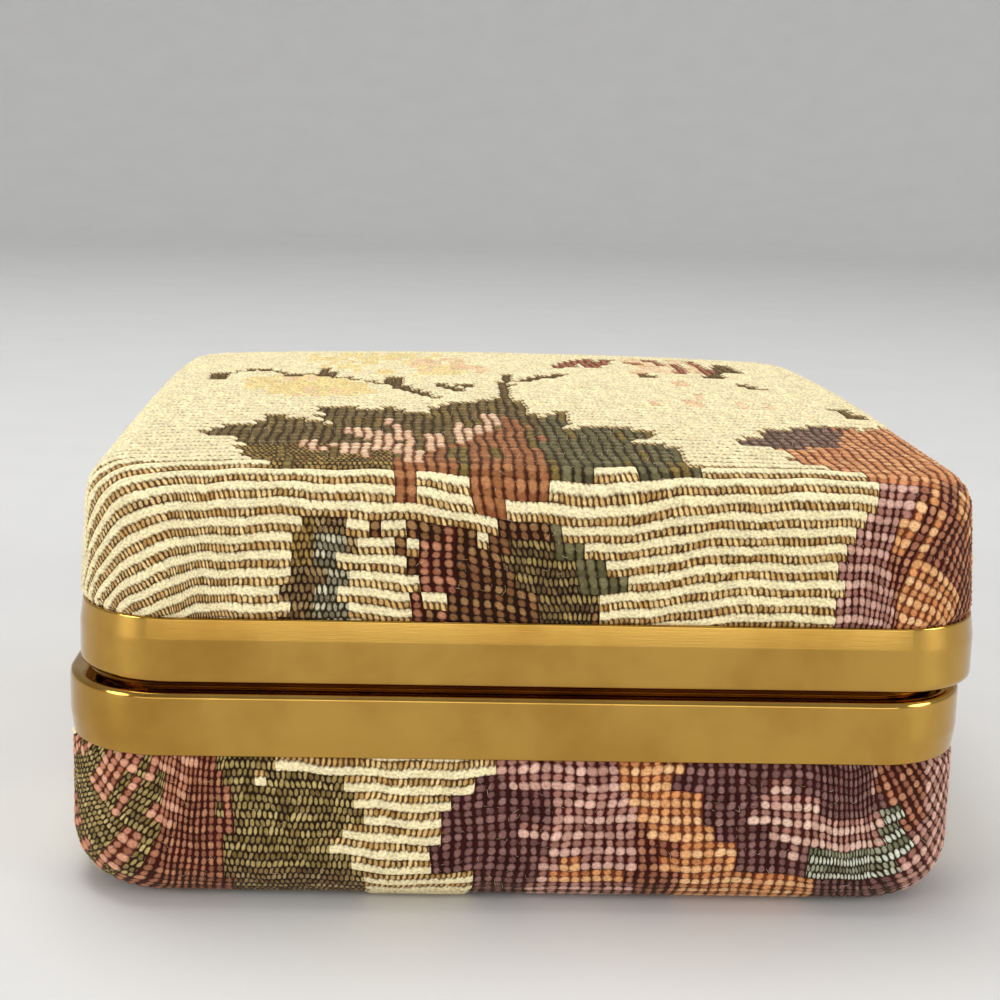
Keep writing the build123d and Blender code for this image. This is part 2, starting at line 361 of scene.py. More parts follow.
def inside(outline, u, v):
    """Which points lie within an outline of the cloth."""
    result = np.zeros(u.shape, bool)
    for (x0, y0), (x1, y1) in zip(outline, outline[1:] + outline[:1]):
        if y0 == y1:
            continue
        crosses = ((y0 > v) != (y1 > v)) & (u < (x1 - x0) * (v - y0) / (y1 - y0) + x0)
        result ^= crosses
    return result


def near(line, u, v, reach):
    """Which points lie within a reach of a line."""
    best = np.full(u.shape, np.inf)
    for (x0, y0), (x1, y1) in zip(line, line[1:]):
        dx, dy = x1 - x0, y1 - y0
        t = np.clip(((u - x0) * dx + (v - y0) * dy) / (dx * dx + dy * dy), 0, 1)
        best = np.minimum(best, np.hypot(u - x0 - t * dx, v - y0 - t * dy))
    return best < reach


# How each kind of weave shows. Its upper and lower floats have a count in each column, a width as a share of
# their pitch and half a height as a share of the row. Its relief is at four heights of a row.
WEAVES = {
    "rib": {
        "upper": (1, 3.0, 0.265), "lower": (2, 0.70, 0.185),
        "relief": (0.02, 0.04, 0.02, 0.28), "between": (1.0, 1.0),
    },
    "rope": {
        "upper": (1, 0.80, 0.345), "lower": (1, 0.76, 0.28),
        "relief": (0.05, 0.13, 0.08, 0.17), "between": (0.05, 0.05),
    },
    "dash": {
        "upper": (1, 0.66, 0.235), "lower": (1, 0.60, 0.205),
        "relief": (0.02, 0.11, 0.03, 0.13), "between": (0.1, 0.1),
    },
    "check": {
        "upper": (1, 0.92, 0.265), "lower": (1, 0.72, 0.205),
        "relief": (0.02, 0.09, 0.04, 0.16), "between": (0.6, 0.2),
    },
    "dots": {
        "upper": (2, 0.76, 0.20), "lower": (2, 0.74, 0.19),
        "relief": (0.02, 0.09, 0.03, 0.09), "between": (1.0, 1.0),
    },
}
WEAVE_NAMES = list(WEAVES)


def weave_table(key):
    """One of the entries of every kind of weave, in the order of their names."""
    return np.array([weave[key] for weave in WEAVES.values()])


class Cloth:
    """The yarns that show in each cell of a piece of cloth. A cell is one column wide and one row high."""

    def __init__(self, seed, settle, stray):
        self.columns = 2 * math.ceil(REACH / COLUMN)
        self.rows = 2 * math.ceil(REACH / ROW)
        self.u0 = -self.columns / 2 * COLUMN
        self.v0 = -self.rows / 2 * ROW
        self.settle = settle
        i, j = np.meshgrid(np.arange(self.columns), np.arange(self.rows))
        self.u, self.v = settle(self.u0 + (i + 0.5) * COLUMN, self.v0 + (j + 0.5) * ROW)
        self.random = np.random.default_rng(seed)
        strays = self.random.uniform(-1, 1, (self.rows, 1)) + self.random.uniform(-1, 1, self.u.shape)
        self.bordered = self.u + stray * strays
        self.kind = np.zeros(self.u.shape, int)
        self.yarns = np.zeros((3, *self.u.shape, 3))
        self.dye(np.ones(self.u.shape, bool), FIELD)

    def dye(self, where, weave):
        """Weaves part of the cloth. Each yarn takes a tone between its two shades in every cell."""
        kind, *numbers = weave
        self.kind[where] = WEAVE_NAMES.index(kind)
        shades = [colour(*shade)[:3] for shade in zip(numbers[::3], numbers[1::3], numbers[2::3])]
        for layer, first, second in zip(self.yarns, np.array(shades[::2]), np.array(shades[1::2])):
            share = self.random.random(self.u.shape)[..., None]
            layer[where] = (first * (1 - share) + second * share)[where]

    def zone(self, outline, within=None):
        """The cells within an outline. Its borders stray from row to row, as the loom's floats end."""
        whole = inside(outline, self.bordered, self.v)
        return whole & inside(within, self.bordered, self.v) if within else whole

    def weave(self, zones, within=None):
        """Weaves zones in order. Each is a weave, an outline and maybe a share: then only that share of it is
        woven, in short upright runs."""
        for weave, outline, *share in zones:
            where = self.zone(outline, within)
            if share:
                runs = self.random.random((self.rows // RUN_ROWS + 1, self.columns))
                where = where & (runs.repeat(RUN_ROWS, axis=0)[: self.rows] < share[0])
            self.dye(where, weave)

    def draw(self, line, reach, weave):
        self.dye(near(line, self.u, self.v, reach), weave)

    def streaks(self, runs, weave):
        """Single columns that are woven another way between two heights."""
        for u, top, bottom in runs:
            self.dye((np.abs(self.u - u) < COLUMN / 2) & (self.v < top) & (self.v > bottom), weave)


def moved(outline, right, up, turn=0.0, mirror=1):
    """An outline turned about its own middle and moved, as the loom repeats a motif."""
    points = np.array(outline, float)
    middle = points.mean(axis=0)
    c, s = math.cos(math.radians(turn)), math.sin(math.radians(turn))
    turned = (points - middle) * (mirror, 1) @ np.array([[c, s], [-s, c]])
    return [tuple(p) for p in turned + middle + (right, up)]


# Weaves: a kind, then the red, green and blue of two shades each of the upper, lower and ground yarns
# the ground yarn's dark shades are partly its own colour and partly painted shade in the gaps between floats
FIELD = ("rib", 253, 236, 186, 253, 238, 192, 232, 202, 142, 184, 142, 82, 98, 68, 32, 74, 48, 20)
OLIVE_LEAF = ("rope", 142, 120, 76, 108, 88, 50, 112, 92, 56, 84, 66, 36, 46, 30, 12, 58, 40, 18)
GOLD_LEAF = ("rope", 150, 126, 66, 126, 104, 52, 118, 98, 50, 96, 78, 38, 48, 32, 12, 40, 26, 10)
GREEN_LEAF = ("rope", 134, 124, 88, 102, 94, 62, 104, 96, 64, 78, 72, 44, 44, 36, 16, 36, 28, 12)
GOLD_ROWS = ("dots", 186, 156, 88, 140, 112, 58, 160, 130, 70, 118, 92, 46, 58, 36, 12, 40, 24, 8)
RUSSET_VEIN = ("rope", 192, 132, 86, 156, 98, 58, 162, 104, 64, 128, 76, 44, 74, 34, 16, 56, 24, 10)
PALE_VEIN = ("rope", 252, 224, 188, 238, 198, 162, 226, 184, 146, 206, 156, 118, 120, 72, 40, 96, 54, 28)
DARK_DOTS = ("dash", 168, 126, 80, 126, 84, 52, 144, 98, 60, 108, 68, 40, 42, 18, 8, 34, 14, 6)
DARK_FLECKS = ("dots", 196, 170, 120, 128, 98, 62, 150, 124, 82, 108, 80, 50, 44, 26, 10, 34, 20, 8)
GOLD_DOTS = ("dots", 178, 152, 94, 124, 102, 62, 130, 106, 66, 94, 76, 48, 42, 26, 10, 32, 18, 8)
MAROON_DASH = ("dash", 206, 144, 108, 164, 106, 78, 180, 118, 88, 138, 84, 62, 66, 20, 10, 50, 12, 6)
PLUM_DASH = ("dash", 156, 116, 108, 122, 84, 78, 132, 94, 88, 104, 68, 64, 56, 20, 18, 44, 12, 10)
PLUM_TIP = ("rope", 160, 132, 114, 110, 82, 72, 118, 90, 78, 92, 66, 56, 70, 44, 34, 56, 34, 26)
LILAC_CHECK = ("check", 238, 192, 172, 190, 142, 126, 186, 136, 120, 140, 94, 82, 70, 22, 16, 50, 12, 8)
PINK_CHECK = ("check", 248, 210, 188, 214, 168, 148, 200, 152, 134, 160, 112, 98, 74, 26, 18, 54, 16, 10)
ORANGE_ROPE = ("rope", 248, 194, 138, 218, 148, 102, 214, 146, 96, 182, 112, 72, 124, 62, 30, 92, 38, 16)
ORANGE_CHECK = ("check", 252, 202, 148, 234, 168, 110, 222, 154, 98, 188, 118, 70, 112, 54, 28, 84, 36, 18)
SALMON_CHECK = ("check", 240, 182, 148, 208, 144, 112, 198, 136, 106, 160, 102, 76, 84, 30, 16, 64, 20, 10)
OLIVE_DOTS = ("dots", 206, 182, 120, 140, 118, 66, 168, 146, 92, 112, 92, 50, 44, 28, 8, 34, 20, 6)
FROST_DOTS = ("dots", 238, 240, 220, 196, 196, 170, 160, 160, 134, 110, 108, 82, 38, 38, 20, 46, 30, 16)
SLATE_DOTS = ("dots", 228, 218, 186, 158, 152, 124, 160, 152, 124, 116, 108, 84, 56, 46, 26, 42, 34, 18)
STRAW_TINT = ("rib", 250, 228, 166, 246, 218, 146, 226, 176, 96, 210, 160, 84, 132, 88, 36, 104, 66, 24)
PEACH_TINT = ("rib", 249, 220, 176, 240, 200, 150, 220, 150, 92, 204, 134, 80, 140, 76, 36, 110, 60, 26)
RUST_TINT = ("dash", 198, 132, 104, 176, 108, 80, 170, 110, 84, 146, 88, 64, 124, 66, 44, 96, 48, 30)
TWIG = ("dash", 124, 102, 62, 104, 84, 50, 108, 88, 54, 92, 72, 44, 88, 66, 34, 72, 52, 26)

# Motifs on the lid's cloth, in millimetres of flat cloth from its middle; the front is downwards
MAIN_LEAF = [
    (-29.1, -21.9), (-26.6, -18.2), (-23.8, -17.4), (-23.2, -13.3), (-20.7, -15.6), (-17.7, -17.8),
    (-19.3, -10.2), (-15.1, -10.4), (-13.6, -12), (-12.6, -9.7), (-9.7, -12.7), (-8.4, -13), (-7.9, -8.4),
    (-5.6, -7.2), (-3.2, -6), (-1.7, -4.5), (0, -6.1), (1.2, -8.8), (1.5, -12.6), (2.9, -14.1),
    (4.5, -11.8), (4.7, -16.6), (3.7, -19.4), (6, -18.5), (8.5, -18.2), (10.4, -19.4), (11.9, -21.4),
    (10.7, -23.5), (9, -24.7), (12.1, -25.6), (13.1, -29.4), (13, -35.1), (5, -35), (5, -36.6), (1, -36.6),
    (0.5, -38), (-1.8, -38), (-2.2, -39.8), (-5.4, -38.6), (-5.4, -36.7), (-7.6, -34.9), (-10.2, -34.8),
    (-10.3, -38.3), (-11.7, -38.3), (-11.6, -34.4), (-14.4, -34.4), (-14.4, -35.8), (-21.7, -35.1),
    (-21.7, -33.6), (-23.8, -33.1), (-24.3, -28.2), (-25, -25.2), (-26.6, -23.8),
]
CENTRE_VEIN = [
    (-11.6, -32.7), (-9, -32.8), (-8.5, -30.3), (-6.5, -27.3), (-4.4, -22.1), (-2.4, -17.3), (-1, -13.5),
    (0.5, -17.4), (1.3, -26.1), (1.2, -40), (-11.7, -39.9),
]
VEINS = [
    (-15.8, -19.7, -22.2), (-15, -19.7, -24.2), (-14.1, -20.1, -25.6), (-13.3, -21.2, -29.6),
    (-12.3, -15.9, -18.8), (-12.5, -21.8, -29.7), (-11.6, -17.9, -30.7), (-10.6, -20.9, -33.4),
    (-9.8, -28.8, -34.2), (-8.2, -21.9, -29.6), (-7.3, -22.4, -28.2), (-6.1, -16.7, -26.3),
    (-5, -19.1, -25.4), (-4, -17.8, -22.9), (-3.1, -12.4, -20.7), (-2.1, -11.9, -18.3),
    (-19.3, -24.9, -28.4), (-18.2, -25.5, -29), (-17.2, -26.9, -29.9), (-16.2, -27.2, -30.5),
    (-15, -27, -31.2), (-14, -26.6, -31.6),
]
LOWER_LEAF = [
    (-13.7, -40.2), (-11.5, -39.2), (-10.5, -39.9), (-7.1, -39.4), (-5.2, -40.1), (-5.3, -41.4),
    (-3.5, -41.2), (-2.6, -39.6), (1.6, -39.8), (1.6, -41), (3.6, -41.2), (3.7, -42.5), (5.3, -42.5),
    (5.5, -43.8), (7.1, -44), (7.1, -45.4), (4.5, -45.6), (4.5, -46.8), (5.5, -47), (5.5, -50),
    (-8.9, -50), (-9.3, -47), (-10.1, -46), (-10.1, -42.4), (-11.9, -41.5),
]
LOOSE_STITCHES = [(-12.3, -41.5), (-11.7, -40.3), (-10.1, -42.4), (-8.3, -46.6)]
CORNER_LEAF = [
    (18, -25.6), (18.2, -23.2), (20.6, -21.1), (22, -18.2), (23.9, -16.4), (26.8, -15.3), (29.1, -14.3),
    (32.9, -15), (35.8, -10.9), (37.7, -4.4), (40.5, 1), (46.4, 6.4), (59.3, 8.1), (60.8, -39.9),
    (47, -59.9), (23.5, -60), (23.7, -47), (24.5, -46.1), (24.5, -41.7), (26.2, -41.1), (26.1, -38.5),
    (27.1, -38.3), (27, -37), (28.2, -36.8), (28.1, -35.7), (26.9, -35.3), (26.8, -34.4), (24.6, -34),
    (24.3, -31.9), (22.3, -31.9), (21.9, -25.7),
]
CORNER_TURN = [
    (31.3, -34.7), (37.7, -32.5), (41.9, -35.8), (50.8, -43.9), (47, -59.9), (35, -59.9), (34.4, -46.3),
    (30.7, -41.4),
]
TWIG_LINE = [
    (-31.3, 8.2), (-30.6, 11.2), (-27.8, 14), (-26, 14.4), (-23.9, 11.7), (-19.1, 9.3), (-16.2, 6.6),
    (-12.3, 3.2), (-9.5, -0.7), (-7.2, -6),
]
TWIG_BUDS = [
    [(-30.7, 12), (-30.5, 8.1)], [(-28.3, 13.7), (-26.2, 15)], [(-23, 10.5), (-22, 8.9)],
    [(-19.3, 13.9), (-18.7, 8.8)], [(-11.7, 7.8), (-11.4, 3.2)], [(-10.8, 2.2), (-10.3, -0.7)],
    [(-6.9, 3.5), (-5.2, -0.4)], [(-4.6, 3.3), (-4, 2.2)], [(2, 6.3), (4.3, 9.3)],
    [(4.5, 10), (6.4, 11.9)], [(23.8, 13.1), (23.6, 15.4)], [(25.8, 8.6), (27.1, 6.2)],
    [(15.8, 12.1), (16.2, 14.1)], [(32.5, -4.4), (33.2, -9)],
]
STALK_LINE = [(-0.6, -5.9), (0, 2.6), (0.1, 10.5)]
SALMON_PATCH = [(14.5, 14.5), (16.3, 21.7), (14.4, 30.8), (24.6, 31.1), (24.6, 17.4), (19.2, 15.1)]

# What is woven on the lid, in order: the weave, the outline and, where it is only sprinkled, the share
LID_GROUND = [
    (STRAW_TINT, [
        (-21.6, 30.4), (-6.3, 31.2), (-2.5, 11.9), (-10.3, 7.8), (-18, 12.9), (-21.7, 20.6),
    ], 0.5),
    (STRAW_TINT, [(-27.1, 7), (-23, 11), (-15.2, 7.1), (-13.4, -3.4), (-22.4, -3.8), (-27.2, 1.3)]),
    (OLIVE_LEAF, MAIN_LEAF),
    (DARK_FLECKS, [
        (-20.3, -43.3), (-19.2, -42.7), (-19, -41.1), (-17.8, -40.1), (-16.1, -39.5), (-14.5, -41.1),
        (-13.9, -42.5), (-15.5, -42.9), (-15.5, -49.9), (-20.5, -49.9),
    ]),
    (SLATE_DOTS, [(-17.6, -40.9), (-15.3, -40.9), (-15.4, -49.9), (-17.6, -49.9)]),
    (PEACH_TINT, [(-23.6, 8.6), (-20.5, 8.4), (-16.4, -3.2), (-22.4, -3.8)], 0.4),
    (PEACH_TINT, [(-12, 23.6), (-3.4, 25), (-0.6, 11.8), (-8.3, 12.3)], 0.6),
    (PEACH_TINT, [(12.8, -13), (16.4, 9), (29.5, 10.1), (26.2, -9.7)], 0.12),
    (RUST_TINT, [(6, 17.3), (7, 22.3), (11.7, 30), (14.4, 29.8), (13.5, 22.9), (10.7, 17.9)], 0.85),
    (PEACH_TINT, SALMON_PATCH, 0.7),
    (RUST_TINT, SALMON_PATCH, 0.35),
    (TWIG, [(23.8, 12.2), (24.6, 21.1), (26.4, 28), (29.2, 26.8), (28.3, 17.2), (26.6, 13.8)], 0.5),
]
MAIN_LEAF_PARTS = [
    (GOLD_ROWS, [(-24.5, -26.2), (-13.9, -26.6), (-10.9, -29.7), (-11.1, -36.4), (-24.6, -36.3)]),
    (GREEN_LEAF, [(1.5, -11.7), (6, -10.9), (13.8, -16.8), (14, -37.1), (1.3, -37)]),
    (RUSSET_VEIN, CENTRE_VEIN),
    (GOLD_LEAF, MAIN_LEAF, 0.16),
]
LOWER_LEAF_PARTS = [
    (DARK_DOTS, LOWER_LEAF),
    (GOLD_DOTS, [(-1, -41), (4.3, -42.4), (4.9, -50), (0.9, -50), (-0.5, -45), (-3.5, -42.4)]),
    (GREEN_LEAF, [(1.4, -39.5), (7.9, -42.1), (7.9, -46), (4.3, -45.7), (2.5, -43.2), (1.3, -42.6)]),
]
STEMS_AND_FOLD = [
    (MAROON_DASH, [(-10.3, -41), (-6.5, -40.6), (-6.7, -50), (-10.3, -49.9)], 0.7),
    (GOLD_ROWS, [(-19.6, -39.9), (-17.6, -39.9), (-17.6, -43.3), (-19.6, -43.3)]),
]
CORNER_LEAF_PARTS = [
    (MAROON_DASH, CORNER_LEAF),
    (ORANGE_ROPE, [
        (21.9, -25.7), (27, -23.5), (29.2, -18.2), (31, -14.5), (35.8, -10.9), (37.7, -4.4), (41.5, 1.9),
        (41.2, -13.7), (40.7, -24.8), (41.4, -27.3), (37.9, -31.6), (32.1, -34.8), (28, -36.2),
        (23.8, -33.4),
    ]),
    (LILAC_CHECK, [
        (22.9, -41.1), (26, -36.2), (31.3, -34.7), (32, -38), (30.5, -41.4), (33, -45), (35, -59.9),
        (22.9, -60),
    ]),
    (PLUM_TIP, CORNER_LEAF[:7] + [(30.1, -16.4), (28.7, -19.5), (27, -23.3), (23.4, -25.1)]),
    (MAROON_DASH, CORNER_TURN),
    (ORANGE_CHECK, CORNER_TURN, 0.3),
    (ORANGE_CHECK, [(34.8, -41.5), (38.8, -41.3), (40.2, -44.5), (37, -47.9), (33.6, -45.5)], 0.7),
]

# The same for the base; the front wall runs from -36 at the bottom edge to -48.6 at the band
LEFT_CORNER = [(-45.8, -31), (-33.8, -31), (-33, -40.6), (-34.4, -43.6), (-34.2, -50.6), (-48.2, -50.6)]
BASE_ZONES = [
    (PLUM_DASH, [(21, -42), (40, -42), (36, -25), (23, -26.5)]),
    (OLIVE_DOTS, LEFT_CORNER),
    (OLIVE_DOTS, [
        (-39, -40.6), (-36.7, -39.6), (-34.8, -42.5), (-34.2, -50.6), (-38.2, -50.6), (-38, -44.6),
    ]),
    (MAROON_DASH, [(-33.8, -31), (-24.1, -31), (-24, -50.2), (-32.9, -50.6)]),
    (OLIVE_DOTS, [
        (-24.5, -31), (-13, -31), (-13.1, -39.5), (-16, -41), (-14.2, -43.3), (-13.2, -43.7),
        (-13.2, -45.7), (-15.2, -47.6), (-19.1, -48.4), (-24.4, -50.2),
    ]),
    (DARK_FLECKS, [(-24.5, -31), (-13.2, -31), (-13.2, -38.9), (-24.5, -38.9)]),
    (FIELD, [(-21.5, -46.7), (-19.9, -46.7), (-19.9, -48), (-21.5, -48)]),
    (PLUM_DASH, [
        (-3.9, -31), (10.4, -31), (10.2, -50.2), (-0.6, -50.2), (-0.8, -48.1), (-3.4, -47.6),
        (-3.5, -45.7), (-5, -45.5), (-5.1, -44.3), (-6.5, -43.1), (-7.5, -41.4), (-7.5, -39.1),
        (-3.9, -38.4),
    ]),
    (LILAC_CHECK, [
        (-0.4, -31), (9.8, -31), (9.7, -50.2), (-2.2, -50.2), (-1.3, -47.2), (1.7, -45.3), (-0.3, -42.9),
        (2, -40.5),
    ]),
    (PLUM_DASH, [(-0.9, -42.9), (2.9, -43.1), (2.7, -45.3), (-0.3, -46.8), (-3.2, -46.3), (-1.3, -44.3)]),
    (ORANGE_CHECK, [(2.9, -37.9), (9.3, -38), (9.1, -39.2), (5.2, -39.3), (5.4, -40.9), (3, -40.3)]),
    (MAROON_DASH, [(9.6, -31), (13.3, -31), (13, -38.9), (12.1, -42), (10, -43.3), (9.5, -40.5)]),
    (PLUM_DASH, [
        (17.9, -39.6), (24.7, -39.1), (34.2, -31), (44.3, -40.4), (44.9, -50), (13.8, -50.2),
        (13.8, -46.8), (15.5, -46.5), (15.5, -43), (17.1, -42.4), (18, -41.1),
    ]),
    (ORANGE_CHECK, [
        (12.9, -31), (24.6, -31), (24.7, -39.1), (17.9, -39.8), (18, -41.1), (17.1, -42.4), (15.5, -43),
        (15.5, -46.5), (13.8, -46.8), (13.8, -50.2), (9.1, -50.2), (9, -45.9), (10, -43.3), (11.9, -42.2),
        (13, -39.6),
    ]),
    (FROST_DOTS, [(23.6, -39.5), (28, -38.2), (33.8, -38), (33.7, -39.8), (28.9, -41.4), (24.1, -41.8)]),
    (PINK_CHECK, [
        (24.3, -41.5), (33.7, -40.2), (34.4, -42.9), (29, -43.5), (26.4, -43.9), (25.7, -45.3),
        (20.9, -45.7), (18.1, -45.2), (20.5, -43.6), (21.2, -42), (22.7, -40.9),
    ]),
    (PINK_CHECK, [(20.5, -46.5), (23.1, -46.3), (23, -47.6), (20.6, -47.6)]),
    (LILAC_CHECK, [(33.2, -31), (46.2, -31), (50.9, -50), (33.9, -50), (35.5, -44.2), (32.8, -38.7)]),
    (MAROON_DASH, [(35.3, -41.3), (38.3, -40.8), (40.5, -44.2), (39.9, -50), (34.9, -50), (35.9, -44.2)]),
    (FROST_DOTS, [(31.8, -38.1), (34.6, -38), (36.4, -43.2), (35.1, -43.6)]),
    (SALMON_CHECK, LEFT_CORNER, 0.4),
    (SALMON_CHECK, [
        (-34.6, -42.5), (-32.2, -41.5), (-30.3, -44.5), (-28.3, -46.4), (-28, -50.4), (-34.6, -50.6),
    ], 0.8),
]


def waver(u, v):
    """The small unevenness of a hand-stretched cloth."""
    return 0.10 * np.sin(0.55 * u + 0.31 * v) + 0.07 * np.sin(1.23 * u - 0.67 * v + 1.0)


def lid_settle(u, v):
    """The cloth's rows hang along the middle of the front, and its columns lean there."""
    front = smooth(*LID_FRONT, v)
    low = 1.3 * np.exp(-(((u - 3) / 9) ** 2)) + 0.9 * smooth(-22, 2, u)
    lean = 0.14 * np.maximum(-36 - v, 0) * np.exp(-(((u + 3) / 9) ** 2))
    return u + lean + waver(v, u), v - (low - 0.7 * smooth(2, 26, u)) * front + waver(u, v)


def base_settle(u, v):
    """The cloth's rows rise towards the front's right end, and hang a little left of its middle."""
    front = smooth(*BASE_FRONT, v)
    rise = 0.6 * np.exp(-(((u + 9) / 6) ** 2)) + 1.3 * smooth(19, 35, u)
    return u + waver(v, u), v + rise * front + waver(u, v)


def repeat_leaf(cloth, *places):
    """Weaves the main leaf again at other places and turns, as the loom does."""
    for place in places:
        leaf, vein = moved(MAIN_LEAF, *place), moved(CENTRE_VEIN, *place)
        cloth.weave([(OLIVE_LEAF, leaf), (RUSSET_VEIN, vein)])


def lid_cloth():
    """The cloth of the lid, with its autumn leaves."""
    cloth = Cloth(SEED, lid_settle, LID_STRAY)
    cloth.weave(LID_GROUND)
    cloth.weave(MAIN_LEAF_PARTS, MAIN_LEAF)
    cloth.streaks(VEINS, PALE_VEIN)
    cloth.draw(TWIG_LINE, 0.5, TWIG)
    cloth.draw(STALK_LINE, 0.46, TWIG)
    for bud in TWIG_BUDS:
        cloth.draw(bud, 0.8, TWIG)
    cloth.weave(LOWER_LEAF_PARTS, LOWER_LEAF)
    cloth.weave(STEMS_AND_FOLD)
    for u, v in LOOSE_STITCHES:
        cloth.draw([(u - 0.3, v), (u + 0.4, v)], 0.6, FIELD)
    cloth.weave(CORNER_LEAF_PARTS, CORNER_LEAF)
    repeat_leaf(cloth, (-52, 22, 70), (30, 80, 160))
    return cloth


def base_cloth():
    """The cloth of the base, with leaves crowded along its front."""
    cloth = Cloth(SEED + 1, base_settle, BASE_STRAY)
    repeat_leaf(cloth, (8, 24, 200), (-44, 30, 80), (46, 36, -70, -1), (0, 64, 180))
    cloth.weave(BASE_ZONES)
    return cloth


# Covers

# the grid lines of a cell of the cloth, as shares of its width and its height
ACROSS = (0.0, 0.5)
ALONG = (0.0, 0.21, 0.42, 0.71)
CLOTH_THICKNESS = 0.55
HIDDEN_STRIP = 1.0
FIBRE_START = 1.2
BASE_FIBRE_END = -1.0
FIBRES_PER_SQUARE_METRE = 0.8e6
# a loose fibre's curve and its radius, in metres
FIBRE_ROOT, FIBRE_BEND, FIBRE_TIP = (0, 0, -0.0001), (0, 0, 0.0003), (0.0003, 0, 0.0004)
FIBRE_RADIUS = 0.000009


def grid_relief(cloth):
    """How far the outer face stands off the cloth at each point of its grid."""
    nu, nv = len(ACROSS), len(ALONG)
    relief = np.zeros((cloth.rows * nv + 1, cloth.columns * nu + 1))
    heights, between = weave_table("relief"), weave_table("between")
    left = np.roll(cloth.kind, 1, axis=1)
    for k in range(nv):
        own = heights[cloth.kind, k]
        part = between[:, 0] if k == nv - 1 else between[:, 1]
        edge = np.minimum(own * part[cloth.kind], heights[left, k] * part[left])
        relief[k:-1:nv, 1:-1:nu] = own
        relief[k:-1:nv, 0:-1:nu] = edge
    return relief


def cell_faces(kept, columns, width, inner_first, inner_width):
    """The kept cells' faces, outside, inside and round every open edge, and the cell of each."""
    nu, nv = len(ACROSS), len(ALONG)
    faces, cells = [], []
    for j, i in zip(*np.nonzero(kept)):
        corner = j * nv * width + i * nu
        below = inner_first + j * inner_width + i
        before = len(faces)
        for b in range(nv):
            for a in range(nu):
                at = corner + b * width + a
                faces.append((at, at + 1, at + width + 1, at + width))
        faces.append((below, below + inner_width, below + inner_width + 1, below + 1))
        south = [corner + a for a in range(nu + 1)]
        north = [corner + nv * width + a for a in range(nu + 1)]
        west = [corner + b * width for b in range(nv + 1)]
        east = [corner + nu + b * width for b in range(nv + 1)]
        for (dj, di), edge, first, last in (
            ((-1, 0), south[::-1], below, below + 1),
            ((1, 0), north, below + inner_width + 1, below + inner_width),
            ((0, -1), west, below + inner_width, below),
            ((0, 1), east[::-1], below + 1, below + inner_width + 1),
        ):
            if not kept[j + dj, i + di]:
                faces.append((*edge, first, last))
        cells += [j * columns + i] * (len(faces) - before)
    return faces, cells


def cover(name, wrap, cloth, place, fibre_limit):
    """A cover, the skin for its fibres, and the flat cloth's two lengths and its area. The outer face has the
    relief of every float, and a plainer inner face closes it."""
    nu, nv = len(ACROSS), len(ALONG)
    cell_u = np.append(np.add.outer(np.arange(cloth.columns), ACROSS).ravel(), cloth.columns)
    cell_v = np.append(np.add.outer(np.arange(cloth.rows), ALONG).ravel(), cloth.rows)
    u, v = np.meshgrid(cloth.u0 + COLUMN * cell_u, cloth.v0 + ROW * cell_v)
    points = wrap.surface(*cloth.settle(u, v))
    normal = np.cross(np.gradient(points, axis=1), np.gradient(points, axis=0))
    normal /= np.maximum(np.linalg.norm(normal, axis=2, keepdims=True), 1e-9)
    relief = grid_relief(cloth) * (1 - wrap.tucked(points[..., 2]))
    outer = points + normal * relief[..., None]
    inner = (points - normal * CLOTH_THICKNESS)[::nv, ::nu]

    kept = np.zeros(cloth.u.shape, bool)
    shown = points[..., 2] > wrap.edge - HIDDEN_STRIP
    for dj in (0, nv):
        for di in (0, nu):
            kept |= shown[dj : shown.shape[0] - nv + dj : nv, di : shown.shape[1] - nu + di : nu]
    kept[0], kept[-1], kept[:, 0], kept[:, -1] = (False,) * 4

    corners = points[::nv, ::nu]
    wide = corners.shape[1]
    bare = (corners[..., 2] > wrap.edge + FIBRE_START) & (corners[..., 2] < fibre_limit)
    bare = bare[:-1, :-1] & bare[1:, 1:] & bare[1:, :-1] & bare[:-1, 1:]
    starts = [j * wide + i for j, i in zip(*np.nonzero(bare))]
    skin = bpy.data.meshes.new(name + "_skin")
    quads = [(a, a + 1, a + wide + 1, a + wide) for a in starts]
    skin.from_pydata(place(corners.reshape(-1, 3)) * MM, [], quads)

    width, offset = outer.shape[1], outer.shape[0] * outer.shape[1]
    faces, cells = cell_faces(kept, cloth.columns, width, offset, inner.shape[1])
    used, index = np.unique(np.concatenate(faces), return_inverse=True)
    sizes = [len(f) for f in faces]
    split = np.split(index, np.cumsum(sizes)[:-1])
    everything = np.concatenate([outer.reshape(-1, 3), inner.reshape(-1, 3)])
    mesh = bpy.data.meshes.new(name)
    mesh.from_pydata(place(everything[used]) * MM, [], [f.tolist() for f in split])
    mesh.shade_smooth()

    grid = np.stack(np.meshgrid(cell_u, cell_v), -1)
    uv = np.concatenate([grid.reshape(-1, 2), grid[::nv, ::nu].reshape(-1, 2)])[used]
    loops = np.zeros(len(mesh.loops), int)
    mesh.loops.foreach_get("vertex_index", loops)
    mesh.uv_layers.new(name="weave").data.foreach_set("uv", uv[loops].ravel())
    corner_cell = np.repeat(cells, sizes)
    layers = dict(zip(("upper", "lower", "ground_and_gap_shade"), cloth.yarns.reshape(3, -1, 3)))
    for part in ("upper", "lower"):
        layers[part + "_form"] = weave_table(part)[cloth.kind.ravel()]
    for layer, values in layers.items():
        rgba = np.column_stack([values[corner_cell], np.ones(len(corner_cell))])
        attribute = mesh.color_attributes.new(layer, "FLOAT_COLOR", "CORNER")
        attribute.data.foreach_set("color", rgba.astype(np.float32).ravel())
    span = [(np.ptp(np.nonzero(kept.any(axis=k))[0]) + 1) * size for k, size in ((0, COLUMN), (1, ROW))]
    area = kept.sum() * COLUMN * ROW
    return add(name, mesh), skin, [s * MM for s in span], area * MM**2


